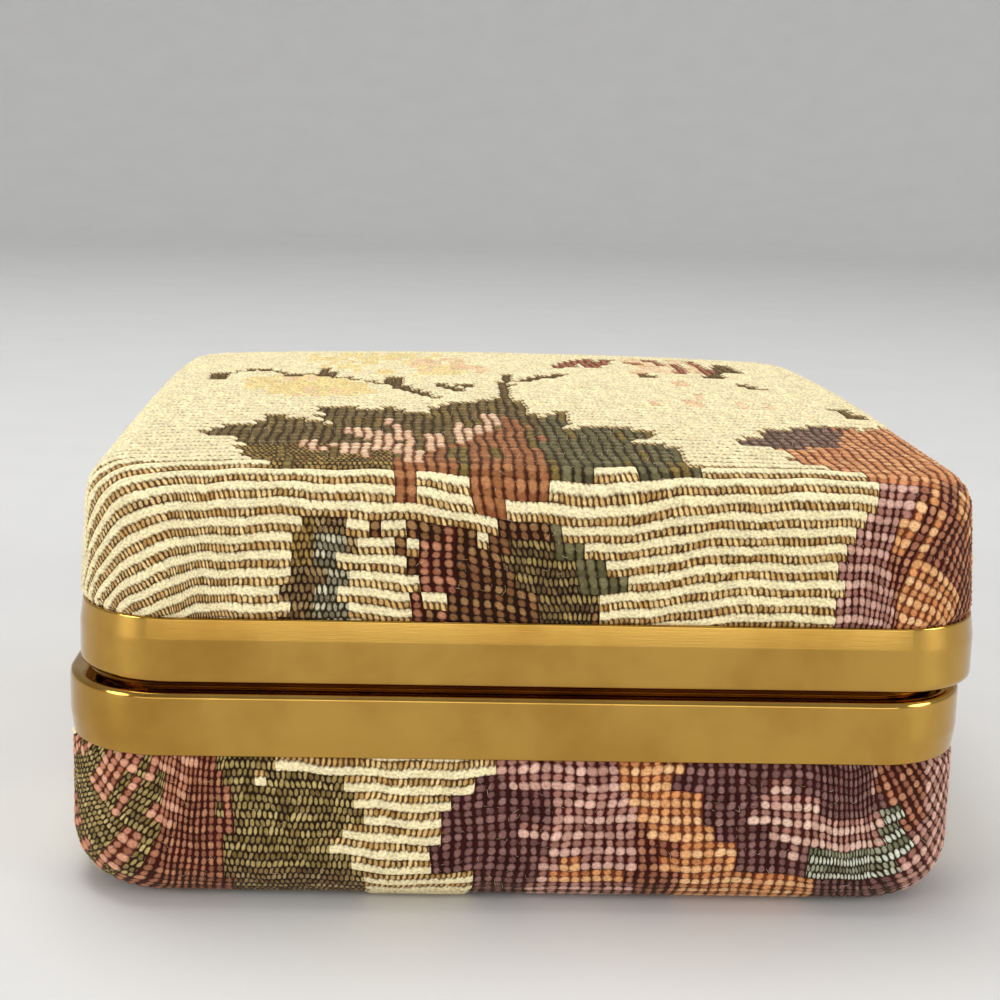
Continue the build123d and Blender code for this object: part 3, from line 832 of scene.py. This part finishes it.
def fibre_nodes(material):
    """A node group that sets fine curved hairs on a surface, and keeps the hairs only."""
    tree = bpy.data.node_groups.new("loose_fibres", "GeometryNodeTree")
    for direction in ("INPUT", "OUTPUT"):
        tree.interface.new_socket("Geometry", in_out=direction, socket_type="NodeSocketGeometry")

    def node(kind, inputs=(), **settings):
        made = tree.nodes.new(kind)
        for key, value in settings.items():
            setattr(made, key, value)
        for key, value in dict(inputs).items():
            if isinstance(value, bpy.types.NodeSocket):
                tree.links.new(value, made.inputs[key])
            else:
                made.inputs[key].default_value = value
        return made.outputs

    def chance(kind, *limits):
        inputs = {**dict(limits), "Seed": SEED}
        return node("FunctionNodeRandomValue", inputs, data_type=kind)

    given = node("NodeGroupInput")
    points = node("GeometryNodeDistributePointsOnFaces", {
        "Mesh": given["Geometry"], "Density": FIBRES_PER_SQUARE_METRE, "Seed": SEED,
    })
    arc = node("GeometryNodeCurveQuadraticBezier", {
        "Resolution": 3, "Start": FIBRE_ROOT, "Middle": FIBRE_BEND, "End": FIBRE_TIP,
    })
    ring = node("GeometryNodeCurvePrimitiveCircle", {"Resolution": 3, "Radius": FIBRE_RADIUS})
    hair = node("GeometryNodeCurveToMesh", {
        "Curve": arc["Curve"], "Profile Curve": ring["Curve"], "Fill Caps": True,
    })
    turn = chance("FLOAT_VECTOR", (0, (-0.9, -0.9, 0)), (1, (0.9, 0.9, math.tau)))
    size = chance("FLOAT", (2, 0.4), (3, 1.25))
    placed = node("GeometryNodeInstanceOnPoints", {
        "Points": points["Points"], "Instance": hair["Mesh"],
        "Rotation": points["Rotation"], "Scale": size[1],
    })
    turned = node("GeometryNodeRotateInstances", {
        "Instances": placed["Instances"], "Rotation": turn["Value"],
    })
    real = node("GeometryNodeRealizeInstances", {"Geometry": turned["Instances"]})
    dyed = node("GeometryNodeSetMaterial", {"Geometry": real["Geometry"], "Material": material})
    node("NodeGroupOutput", {"Geometry": dyed["Geometry"]})
    return tree


def fibres(name, skin, tree):
    """Loose fibres on a cover, baked to a mesh of their own."""
    carrier = add(name + "_carrier", skin)
    carrier.modifiers.new("fibres", "NODES").node_group = tree
    bpy.context.view_layer.update()
    baked = bpy.data.meshes.new_from_object(carrier.evaluated_get(bpy.context.evaluated_depsgraph_get()))
    baked.name = name
    bpy.data.objects.remove(carrier)
    return add(name, baked)


# Bands, linings and pads, swept round the box's outline

SHEET = 0.4
BAND_HEIGHT = 5.4
FACET_HEIGHT = 1.9
FACET_INSET = 0.25
GROOVE_DEPTH = 1.8
JOGGLE_RUN = 0.25
LEG_HEIGHT = 2.2
BASE_WALL = 2.75
LID_WALL = 3.15
GLUE_GAP = 0.05
HINGE_NOTCH = 29.0
NOTCH_HEIGHT = 1.7
LINING = 0.8
BASE_FLOOR = 2.45
LID_CEILING = 33.3
BASE_WINDOW = (27.0, 10.05)
LID_WINDOW = (21.0, 25.25)
CEILING_PAD = 1.5
WADDING_FOOT = LID_EDGE + 0.65
WADDING_OUTSIDE = 0.6
WADDING_INSIDE = 1.25
SHELL_TOP = LID_TOP - 2.95
PAD_ROLL = 0.7
PAD_RINGS = 34
PAD_FRAME = 6.0
PAD_CROWN = 0.5
FLOOR_PAD = 2.05
CEILING_INSET = 0.55
STATION_STEP = 1.2
CORNER_STATIONS = 16
GAP_STATIONS = 16
ARM_LIMIT = 0.36
STRIP_REACH = 1.4
STRIP_LIMIT = 0.46
SHARP_EDGE = math.radians(40)


def stations(gap=0.0):
    """Places round the outline with their inward normals, from one side of a gap at the back to the other."""
    straight = HALF - CORNER
    sides = np.linspace(-straight, straight, int(2 * straight / STATION_STEP))[1:-1]
    back = sides[sides > gap / 2]
    places = [(x, HALF, 0, -1) for x in (gap / 2, *back)]
    for quarter in range(4):
        c, s = round(math.cos(quarter * math.pi / 2)), round(math.sin(quarter * math.pi / 2))
        for angle in np.linspace(math.pi / 2, 0, CORNER_STATIONS):
            x, y = straight + CORNER * math.cos(angle), straight + CORNER * math.sin(angle)
            nx, ny = -math.cos(angle), -math.sin(angle)
            places.append((x * c + y * s, y * c - x * s, nx * c + ny * s, ny * c - nx * s))
        if quarter < 3:
            for y in sides[::-1]:
                places.append((HALF * c + y * s, y * c - HALF * s, -c, s))
    places += [(-x, HALF, 0, -1) for x in (*back[::-1], gap / 2)]
    return np.array(places)


def eased(corners):
    """A section with its corners rounded; each corner is (inset, height, length rounded off)."""
    points = []
    for before, (x, z, ease), after in zip(corners[-1:] + corners[:-1], corners, corners[1:] + corners[:1]):
        here = np.array((x, z))
        arms, strips = [], []
        for other in (before, after):
            arm = np.array(other[:2]) - here
            length = np.linalg.norm(arm)
            arms.append(here + arm / length * min(ease, length * ARM_LIMIT))
            strips.append(here + arm / length * min(ease * STRIP_REACH, length * STRIP_LIMIT))
        points.append(strips[0])
        for t in np.linspace(0, 1, 4):
            points.append((1 - t) ** 2 * arms[0] + 2 * t * (1 - t) * here + t * t * arms[1])
        points.append(strips[1])
    return points


def swept(name, sections, place, wander=0.0):
    """Closed sections swept round the box. Each is (section, its stations)."""
    points, faces = [], []
    for section, route in sections:
        first, n, m = len(points), len(section), len(route)
        for x, y, nx, ny in route:
            for inset, z in section:
                sway = wander * math.sin(0.17 * x + 0.6) * math.cos(0.21 * y - 0.4) * (inset < 1)
                points.append((x + nx * (inset + sway), y + ny * (inset + sway), z))
        faces += ring_faces(first, m, n)
        faces.append(tuple(range(first, first + n)))
        faces.append(tuple(range(first + (m - 1) * n, first + m * n))[::-1])
    made = solid(name, np.array(points), faces, place)
    made.modifiers.new("edges", "EDGE_SPLIT").split_angle = SHARP_EDGE
    return made


def across_gap(gap):
    return np.array([(x, HALF, 0, -1) for x in np.linspace(-gap / 2, gap / 2, GAP_STATIONS)])


def band(name, wall, place):
    """A folded metal band: facet, face, rolled lip, groove, land and the leg inside the shell."""
    crease = BASE_EDGE + FACET_HEIGHT
    mouth = BASE_EDGE + BAND_HEIGHT
    step = GROOVE_DEPTH + JOGGLE_RUN
    leg = wall + GLUE_GAP
    full = [
        (FACET_INSET, BASE_EDGE, 0.12), (0, crease, 0.16), (0, mouth, 0.5), (GROOVE_DEPTH, mouth, 0.1),
        (step, LAND, 0.1), (leg + SHEET, LAND, 0.3), (leg + SHEET, LAND - LEG_HEIGHT, 0.1),
        (leg, LAND - LEG_HEIGHT, 0.1), (leg, LAND - SHEET, 0.1), (step, LAND - SHEET, 0.1),
        (GROOVE_DEPTH, mouth - SHEET, 0.1), (SHEET, mouth - SHEET, 0.2), (SHEET, crease, 0.4),
        (FACET_INSET + SHEET, BASE_EDGE, 0.12),
    ]
    notch = MID_PLANE - NOTCH_HEIGHT
    low = [
        (FACET_INSET, BASE_EDGE, 0.12), (0, crease, 0.16), (0, notch, 0.1), (SHEET, notch, 0.1),
        (SHEET, crease, 0.4), (FACET_INSET + SHEET, BASE_EDGE, 0.12),
    ]
    sections = ((eased(full), stations(HINGE_NOTCH)), (eased(low), across_gap(HINGE_NOTCH)))
    return swept(name, sections, place, wander=0.035)


def lining_wall(name, inset, low, high, window, lean_from, place):
    """The velvet-covered strip round the inside, with a window for the hinge."""
    gap, sill = window

    def section(bottom, top):
        def at(depth, z, ease):
            lean = max(z - lean_from, 0) * math.tan(LID_LEAN)
            return (inset + depth + lean, z, ease)
        waist = [z for z in (lean_from,) if bottom < z < top]
        inner = [at(LINING, z, 0.2) for z in (bottom, *waist, top)]
        outer = [at(0, z, 0.1) for z in (top, *waist[::-1], bottom)]
        return eased(inner + outer)

    below = window[1] < MID_PLANE
    short = section(low, sill) if below else section(sill, high)
    return swept(name, ((section(low, high), stations(gap)), (short, across_gap(gap))), place)


def pad(name, inset, back, face, crown, place):
    """A thin padded board: a flat back, rolled edges and a crowned, slightly uneven face."""
    outward = math.copysign(1, face - back)
    rings = [(0.4, back), (0.05, back + outward * 0.25), (0, back + outward * 0.5)]
    for angle in np.linspace(0.2, math.pi / 2, 6):
        rings.append((PAD_ROLL * (1 - math.cos(angle)), face - outward * PAD_ROLL * (1 - math.sin(angle))))
    rings += [(d, face) for d in np.linspace(PAD_ROLL + 0.5, HALF - inset, PAD_RINGS)[:-1]]
    route = stations()[:-1]
    fixed = PAD_FRAME - inset
    points = []
    for depth, z in rings:
        shrink = 1 - max(depth - fixed, 0) / (HALF - inset - fixed)
        xy = (route[:, :2] + route[:, 2:] * (inset + min(depth, fixed))) * shrink
        swell = max(depth - PAD_ROLL, 0) / (HALF - inset)
        rise = crown * (1 - (1 - swell) ** 3)
        uneven = 0.05 * np.sin(xy[:, 0] * 0.31 + 1) * np.sin(xy[:, 1] * 0.27 + 2) * min(1, swell * 6)
        points.append(np.column_stack([xy, z + outward * (rise + uneven)]))
    n = len(route)
    points = np.vstack([*points, [(0, 0, face + outward * crown)]])
    faces = [tuple(range(n))] + dome_faces(0, len(rings), n, len(rings) * n)
    return solid(name, points, faces, place)


def wadding(name, wrap, place):
    """The layer between the lid's shell and its cover; it fills out the crown."""
    route = stations()[:-1]
    n = len(route)
    outside = wrap.layer(route, WADDING_FOOT, WADDING_OUTSIDE)
    underside = wrap.layer(route, WADDING_FOOT, WADDING_INSIDE, SHELL_TOP)
    points = np.vstack([*outside, *underside, [(0, 0, outside[-1][:, 2].mean()), (0, 0, SHELL_TOP)]])
    rings = len(outside)
    foot = rings * n
    faces = dome_faces(0, rings, n, 2 * foot) + dome_faces(foot, rings, n, 2 * foot + 1)
    faces += [(i, (i + 1) % n, foot + (i + 1) % n, foot + i) for i in range(n)]
    return solid(name, points, faces, place)


def upright(points):
    return points


def overturned(points):
    """From the base's way of drawing to the lid's: upside down and at the lid's own place."""
    return points * (1, 1, -1) + (LID_X, 0, 2 * MID_PLANE)


def on_lid(points):
    return points + (LID_X, 0, 0)


def bottom_up(points):
    return points * (1, 1, -1)


# Materials

# The heights in a row of the middles of its upper and lower floats, and the power of their oval outline
UPPER_MIDDLE = 0.71
LOWER_MIDDLE = 0.21
FLOAT_ROUNDNESS = 2.1


def tapestry():
    """Jacquard tapestry: short floats of wool-like yarn on a dark ground that is partly painted shade, one
    cell for each crossing.
    """
    s = Shader("tapestry_weave")
    uv = s.node("UVMap", uv_map="weave")
    u, v, _ = s.parts(uv)
    upper, lower, ground_and_gap_shade, upper_form, lower_form = (
        s.node("Attribute", attribute_type="GEOMETRY", attribute_name=name)
        for name in ("upper", "lower", "ground_and_gap_shade", "upper_form", "lower_form")
    )
    grain = s.noise(uv, 3.2, detail=4, roughness=0.65) - 0.5
    drift = s.noise(uv, 0.45, detail=2) - 0.5
    along = v.fraction() + grain * 0.20 + drift * 0.10
    scallop = (u * 2).wave() * 0.014

    def float_mask(form, middle):
        """One kind of float: ovals as many and as large as the weave makes them, each a little different."""
        count, wide, reach = s.parts(form)
        place = u * count + (count - 1) * middle
        spot = s.node("CombineXYZ", {0: place.whole(), 1: v.whole(), 2: middle})
        own, other, _ = s.parts(s.node("TexWhiteNoise", {"Vector": spot}, output=1))
        across = place.fraction() - 0.5
        leaning = across * 0.24 * (own - 0.35) * count
        sideways = ((across + grain * 0.22).size() * 2 / (wide * (0.76 + other * 0.36))) ** FLOAT_ROUNDNESS
        height = (along + (own - 0.5) * 0.08 * (count - 1) + leaning + scallop * (wide - 0.7) - middle).size()
        upright = (height / (reach * (0.92 + own * 0.2 * (count - 0.6)))) ** FLOAT_ROUNDNESS
        return (sideways + upright).step(1.75, 0.30), own

    top, top_chance = float_mask(upper_form, UPPER_MIDDLE)
    low, low_chance = float_mask(lower_form, LOWER_MIDDLE)
    twist = s.noise(s.stretched(uv, (2.4, 5.5, 1)), 1.4, detail=3, roughness=0.6).step(0.3, 0.7)
    hairs = s.noise(s.stretched(uv, (9, 14, 1)), 1.5, detail=2)
    chance = top * top_chance * 0.4 + (1 - top) * low_chance
    shade = 0.56 + twist * 0.46 + chance * 0.40 + hairs * 0.18
    # painted shade: the dark ground shows in the gaps and round the floats' soft edges, standing in for shade
    # there as well as for the ground yarn
    body = s.mix(low, ground_and_gap_shade, lower)
    body = s.mix(top, body, upper)
    body = s.mix(1.0, body, s.node("CombineColor", {0: shade, 1: shade, 2: shade}), blend="MULTIPLY")
    relief = top * 0.8 + low * 0.6 + twist * 0.3 + hairs * 0.2
    return s.finish(
        Base_Color=body,
        Roughness=0.88,
        Normal=s.bump(relief, 0.00014, 0.9),
        Sheen_Weight=0.10,
        Sheen_Roughness=0.4,
        Sheen_Tint=(1.0, 0.84, 0.6, 1),
        Specular_IOR_Level=0.12,
    )


def loose_fibre():
    """Fine hairs that stand out of the yarn."""
    s = Shader("loose_fibre")
    change = s.noise(s.place(), 700, detail=1)
    tone = s.mix(change.step(0.35, 0.65), colour(246, 228, 190), colour(206, 172, 124))
    return s.finish(Base_Color=tone, Roughness=0.8, Specular_IOR_Level=0.2)


def metal(name, tint, dark_tint, roughness, spread, scratch, groove=None):
    """A metal finish with faint smears, fine scratches and a slightly uneven face. A groove is the span of
    distances from the meeting plane, in metres, where painted shade darkens the gap between the halves."""
    s = Shader(name)
    place = s.place()
    smear = s.noise(place, 90, detail=4, roughness=0.6)
    lines = s.noise(s.stretched(place, (60, 60, 1500)), 6, detail=3, roughness=0.7)
    tone = s.mix(smear.step(0.35, 0.75), tint, dark_tint)
    rough = roughness + (smear - 0.5) * spread + (lines - 0.5) * scratch * 0.4
    if groove:
        near, far = groove
        depth = (s.parts(place)[2] - MID_PLANE * MM).size()
        # painted shade: the groove between the two bands is darkened and made rougher where shade falls
        # between the halves
        groove_shade = depth.step(near, near + 0.0001) * depth.step(far, far - 0.0002)
        tone = s.mix(groove_shade, tone, colour(38, 24, 10))
        rough = rough + groove_shade * 0.4
    return s.finish(
        Base_Color=tone,
        Metallic=1.0,
        Roughness=rough.clamped(),
        Normal=s.bump(lines, 0.00002, scratch),
    )


def velvet():
    """Short burgundy pile, brushed this way and that."""
    s = Shader("burgundy_velvet")
    place = s.place()
    nap = s.noise(place, 110, detail=5, roughness=0.6)
    pile = s.noise(place, 2600, detail=2)
    tone = s.mix(nap.step(0.3, 0.7), colour(92, 14, 26), colour(134, 30, 42))
    tone = s.mix(pile * 0.35, tone, colour(52, 6, 14))
    return s.finish(
        Base_Color=tone,
        Roughness=0.95,
        Normal=s.bump(pile + nap, 0.00012, 0.5),
        Sheen_Weight=0.7,
        Sheen_Roughness=0.35,
        Specular_IOR_Level=0.15,
    )


def moulded_board():
    s = Shader("moulded_board")
    place = s.place()
    flow = s.noise(place, 160, detail=4)
    grain = s.noise(place, 1800, detail=2)
    tone = s.mix(flow, colour(58, 50, 44), colour(84, 74, 64))
    return s.finish(Base_Color=tone, Roughness=0.6 + grain * 0.2, Normal=s.bump(grain, 0.00005, 0.4))


def fibre_wadding():
    s = Shader("polyester_wadding")
    place = s.place()
    hairs = s.noise(s.stretched(place, (1, 3, 1)), 900, detail=5, roughness=0.7)
    tone = s.mix(hairs, colour(206, 202, 192), colour(244, 242, 236))
    return s.finish(Base_Color=tone, Roughness=0.95, Normal=s.bump(hairs, 0.0002, 0.6))


TAPESTRY = tapestry()
MOUTH_GAP = (MID_PLANE - BASE_EDGE - BAND_HEIGHT) * MM
LAND_GAP = (MID_PLANE - LAND) * MM
GOLD = metal(
    "gold_tone_band", colour(192, 152, 74), colour(168, 127, 56), 0.10, 0.08, 0.05,
    groove=(LAND_GAP + 0.0001, MOUTH_GAP - 0.00005),
)
BRASS = metal("satin_brass", colour(206, 168, 92), colour(184, 144, 74), 0.30, 0.12, 0.3)
STEEL = metal("blued_steel", colour(152, 156, 164), colour(120, 126, 138), 0.28, 0.12, 0.3)
VELVET = velvet()
BOARD = moulded_board()
WADDING = fibre_wadding()


def dress(piece, material):
    piece.data.materials.clear()
    piece.data.materials.append(material)


def finish_piece(piece, material, body, slot, *stands_for):
    """Gives a piece its material, the half it rides on and the CAD nodes that it stands for; its slot is not
    used.
    """
    dress(piece, material)
    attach(piece, body)
    if stands_for:
        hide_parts(*stands_for)


# The two covers

lid_wrap = Wrap(LID_SHOULDER, LID_LEAN, LID_TOP, LID_EDGE, LID_CROWN, LID_LOFT)
base_wrap = Wrap(BASE_SHOULDER, 0.0, 0.0, -BASE_EDGE, 0.0)
FIBRE = loose_fibre()
fibre_tree = fibre_nodes(FIBRE)
for body, wrap, cloth, place, under, fibre_limit in (
    ("lid", lid_wrap, lid_cloth(), on_lid, "lid_wadding_layer", math.inf),
    ("base", base_wrap, base_cloth(), bottom_up, "base_shell", BASE_FIBRE_END),
):
    piece, skin, span, area = cover(body + "_tapestry", wrap, cloth, place, fibre_limit)
    if place is bottom_up:
        piece.data.flip_normals()
        skin.flip_normals()
    finish_piece(fibres(body + "_loose_fibres", skin, fibre_tree), FIBRE, body, "tapestry_fabric")
    finish_piece(piece, TAPESTRY, body, "tapestry_fabric", body + "_cover")
layer = wadding("lid_wadding_layer", lid_wrap, on_lid)
finish_piece(layer, WADDING, "lid", "wadding", "lid_wadding")

# Bands, linings and pads
finish_piece(band("base_band", BASE_WALL, upright), GOLD, "base", "gold_tone_metal", "base_rim")
finish_piece(band("lid_band", LID_WALL, overturned), GOLD, "lid", "gold_tone_metal", "lid_rim")
base_lining = lining_wall(
    "base_lining", BASE_WALL + GLUE_GAP, BASE_FLOOR + GLUE_GAP, LAND - LEG_HEIGHT - GLUE_GAP,
    BASE_WINDOW, LID_TOP, upright,
)
lid_lining = lining_wall(
    "lid_lining", LID_WALL + GLUE_GAP, 2 * MID_PLANE - LAND + LEG_HEIGHT + GLUE_GAP,
    LID_CEILING - CEILING_INSET, LID_WINDOW, LID_EDGE, on_lid,
)
finish_piece(base_lining, VELVET, "base", "lining_velvet", "base_lining_wall")
finish_piece(lid_lining, VELVET, "lid", "lining_velvet", "lid_lining_wall")
pad_gap = LINING + 2 * GLUE_GAP
floor_pad = pad(
    "floor_pad", BASE_WALL + pad_gap, BASE_FLOOR + GLUE_GAP, BASE_FLOOR + FLOOR_PAD,
    PAD_CROWN, upright,
)
ceiling_pad = pad(
    "ceiling_pad", LID_WALL + pad_gap + CEILING_INSET, LID_CEILING - GLUE_GAP, LID_CEILING - CEILING_PAD,
    PAD_CROWN, on_lid,
)
finish_piece(floor_pad, VELVET, "base", "lining_velvet", "base_lining_floor")
finish_piece(ceiling_pad, VELVET, "lid", "lining_velvet", "lid_lining_pad")

# What the CAD already shapes
for material, nodes in (
    (BOARD, ("base_shell", "lid_shell")),
    (BRASS, ("base_hinge_leaf", "lid_hinge_leaf", "base_hinge_rivets", "lid_hinge_rivets", "spring_rivets")),
    (STEEL, ("hinge_pin", "snap_spring")),
):
    for node in nodes:
        dress(frame["nodes"][node], material)


# Floor, light and camera

def backdrop():
    """A round pale table that curves up into a wall on every side."""
    flat, bend, wall, turns = 0.9, 0.5, 1.3, 72
    line = [(flat + bend, wall)]
    for a in np.linspace(math.pi / 2, 0.12, 13):
        line.append((flat + bend * math.sin(a), bend - bend * math.cos(a)))
    line += [(r, 0) for r in (flat, 0.6, 0.3)]
    points = []
    for r, z in line:
        points += [(r * math.cos(t), r * math.sin(t), z) for t in np.linspace(0, math.tau, turns, False)]
    mesh = bpy.data.meshes.new("floor")
    mesh.from_pydata([*points, (0, 0, 0)], [], dome_faces(0, len(line), turns, len(points)))
    mesh.shade_smooth()
    s = Shader("pale_table")
    fleck = s.noise(s.place(), 40, detail=3)
    tone = s.mix(fleck, colour(222, 221, 218), colour(230, 229, 227))
    mesh.materials.append(s.finish(Base_Color=tone, Roughness=0.6, Specular_IOR_Level=0.25))
    add("floor", mesh)


LAMP_TARGET = Vector((0, 0, 0.02))


def lamp(name, place, size, power):
    """A soft lamp that faces the box: a disk, or a strip where its size is a width and a height."""
    data = bpy.data.lights.new(name, "AREA")
    if isinstance(size, tuple):
        data.shape = "RECTANGLE"
        data.size, data.size_y = size
    else:
        data.shape = "DISK"
        data.size = size
    data.energy = power
    made = add(name, data)
    made.location = place
    made.rotation_euler = (LAMP_TARGET - Vector(place)).to_track_quat("-Z", "Y").to_euler()


def world():
    made = bpy.data.worlds.new("studio")
    made.use_nodes = True
    tree = made.node_tree
    background = tree.nodes["Background"]
    background.inputs["Color"].default_value = (0.93, 0.95, 1.0, 1)
    background.inputs["Strength"].default_value = 0.52
    bpy.context.scene.world = made


CAMERA_PLACE = (-0.01101, -0.16622, 0.06223)
CAMERA_YAW, CAMERA_PITCH, CAMERA_ROLL = 0.01776, 0.16178, -0.0203
CAMERA_FOCUS = 1.65139
CAMERA_SHIFT = (0.08, -0.08)
SENSOR = 36.0


def camera():
    """The photograph's camera, from its place, its three turns and its focal length in frame widths."""
    forward = Vector((
        math.sin(CAMERA_YAW) * math.cos(CAMERA_PITCH),
        math.cos(CAMERA_YAW) * math.cos(CAMERA_PITCH),
        -math.sin(CAMERA_PITCH),
    ))
    right = Vector((math.cos(CAMERA_YAW), -math.sin(CAMERA_YAW), 0))
    down = forward.cross(right)
    c, s = math.cos(CAMERA_ROLL), math.sin(CAMERA_ROLL)
    axes = (c * right + s * down, s * right - c * down, -forward)
    data = bpy.data.cameras.new("camera")
    data.sensor_width = SENSOR
    data.lens = SENSOR * CAMERA_FOCUS
    data.shift_x, data.shift_y = CAMERA_SHIFT
    data.clip_start = 0.005
    made = add("camera", data)
    made.matrix_world = Matrix.Translation(CAMERA_PLACE) @ Matrix(axes).transposed().to_4x4()
    bpy.context.scene.camera = made


backdrop()
lamp("overhead", (-0.10, 0.10, 0.75), 0.45, 2.85)
lamp("left_side", (-0.62, -0.42, 0.22), 0.36, 2.3)
lamp("right_side", (0.66, -0.36, 0.22), 0.36, 2.0)
lamp("front_strip", (0.0, -0.80, 0.085), (1.1, 0.16), 0.9)
world()
camera()
bpy.context.scene.view_settings.view_transform = "Standard"
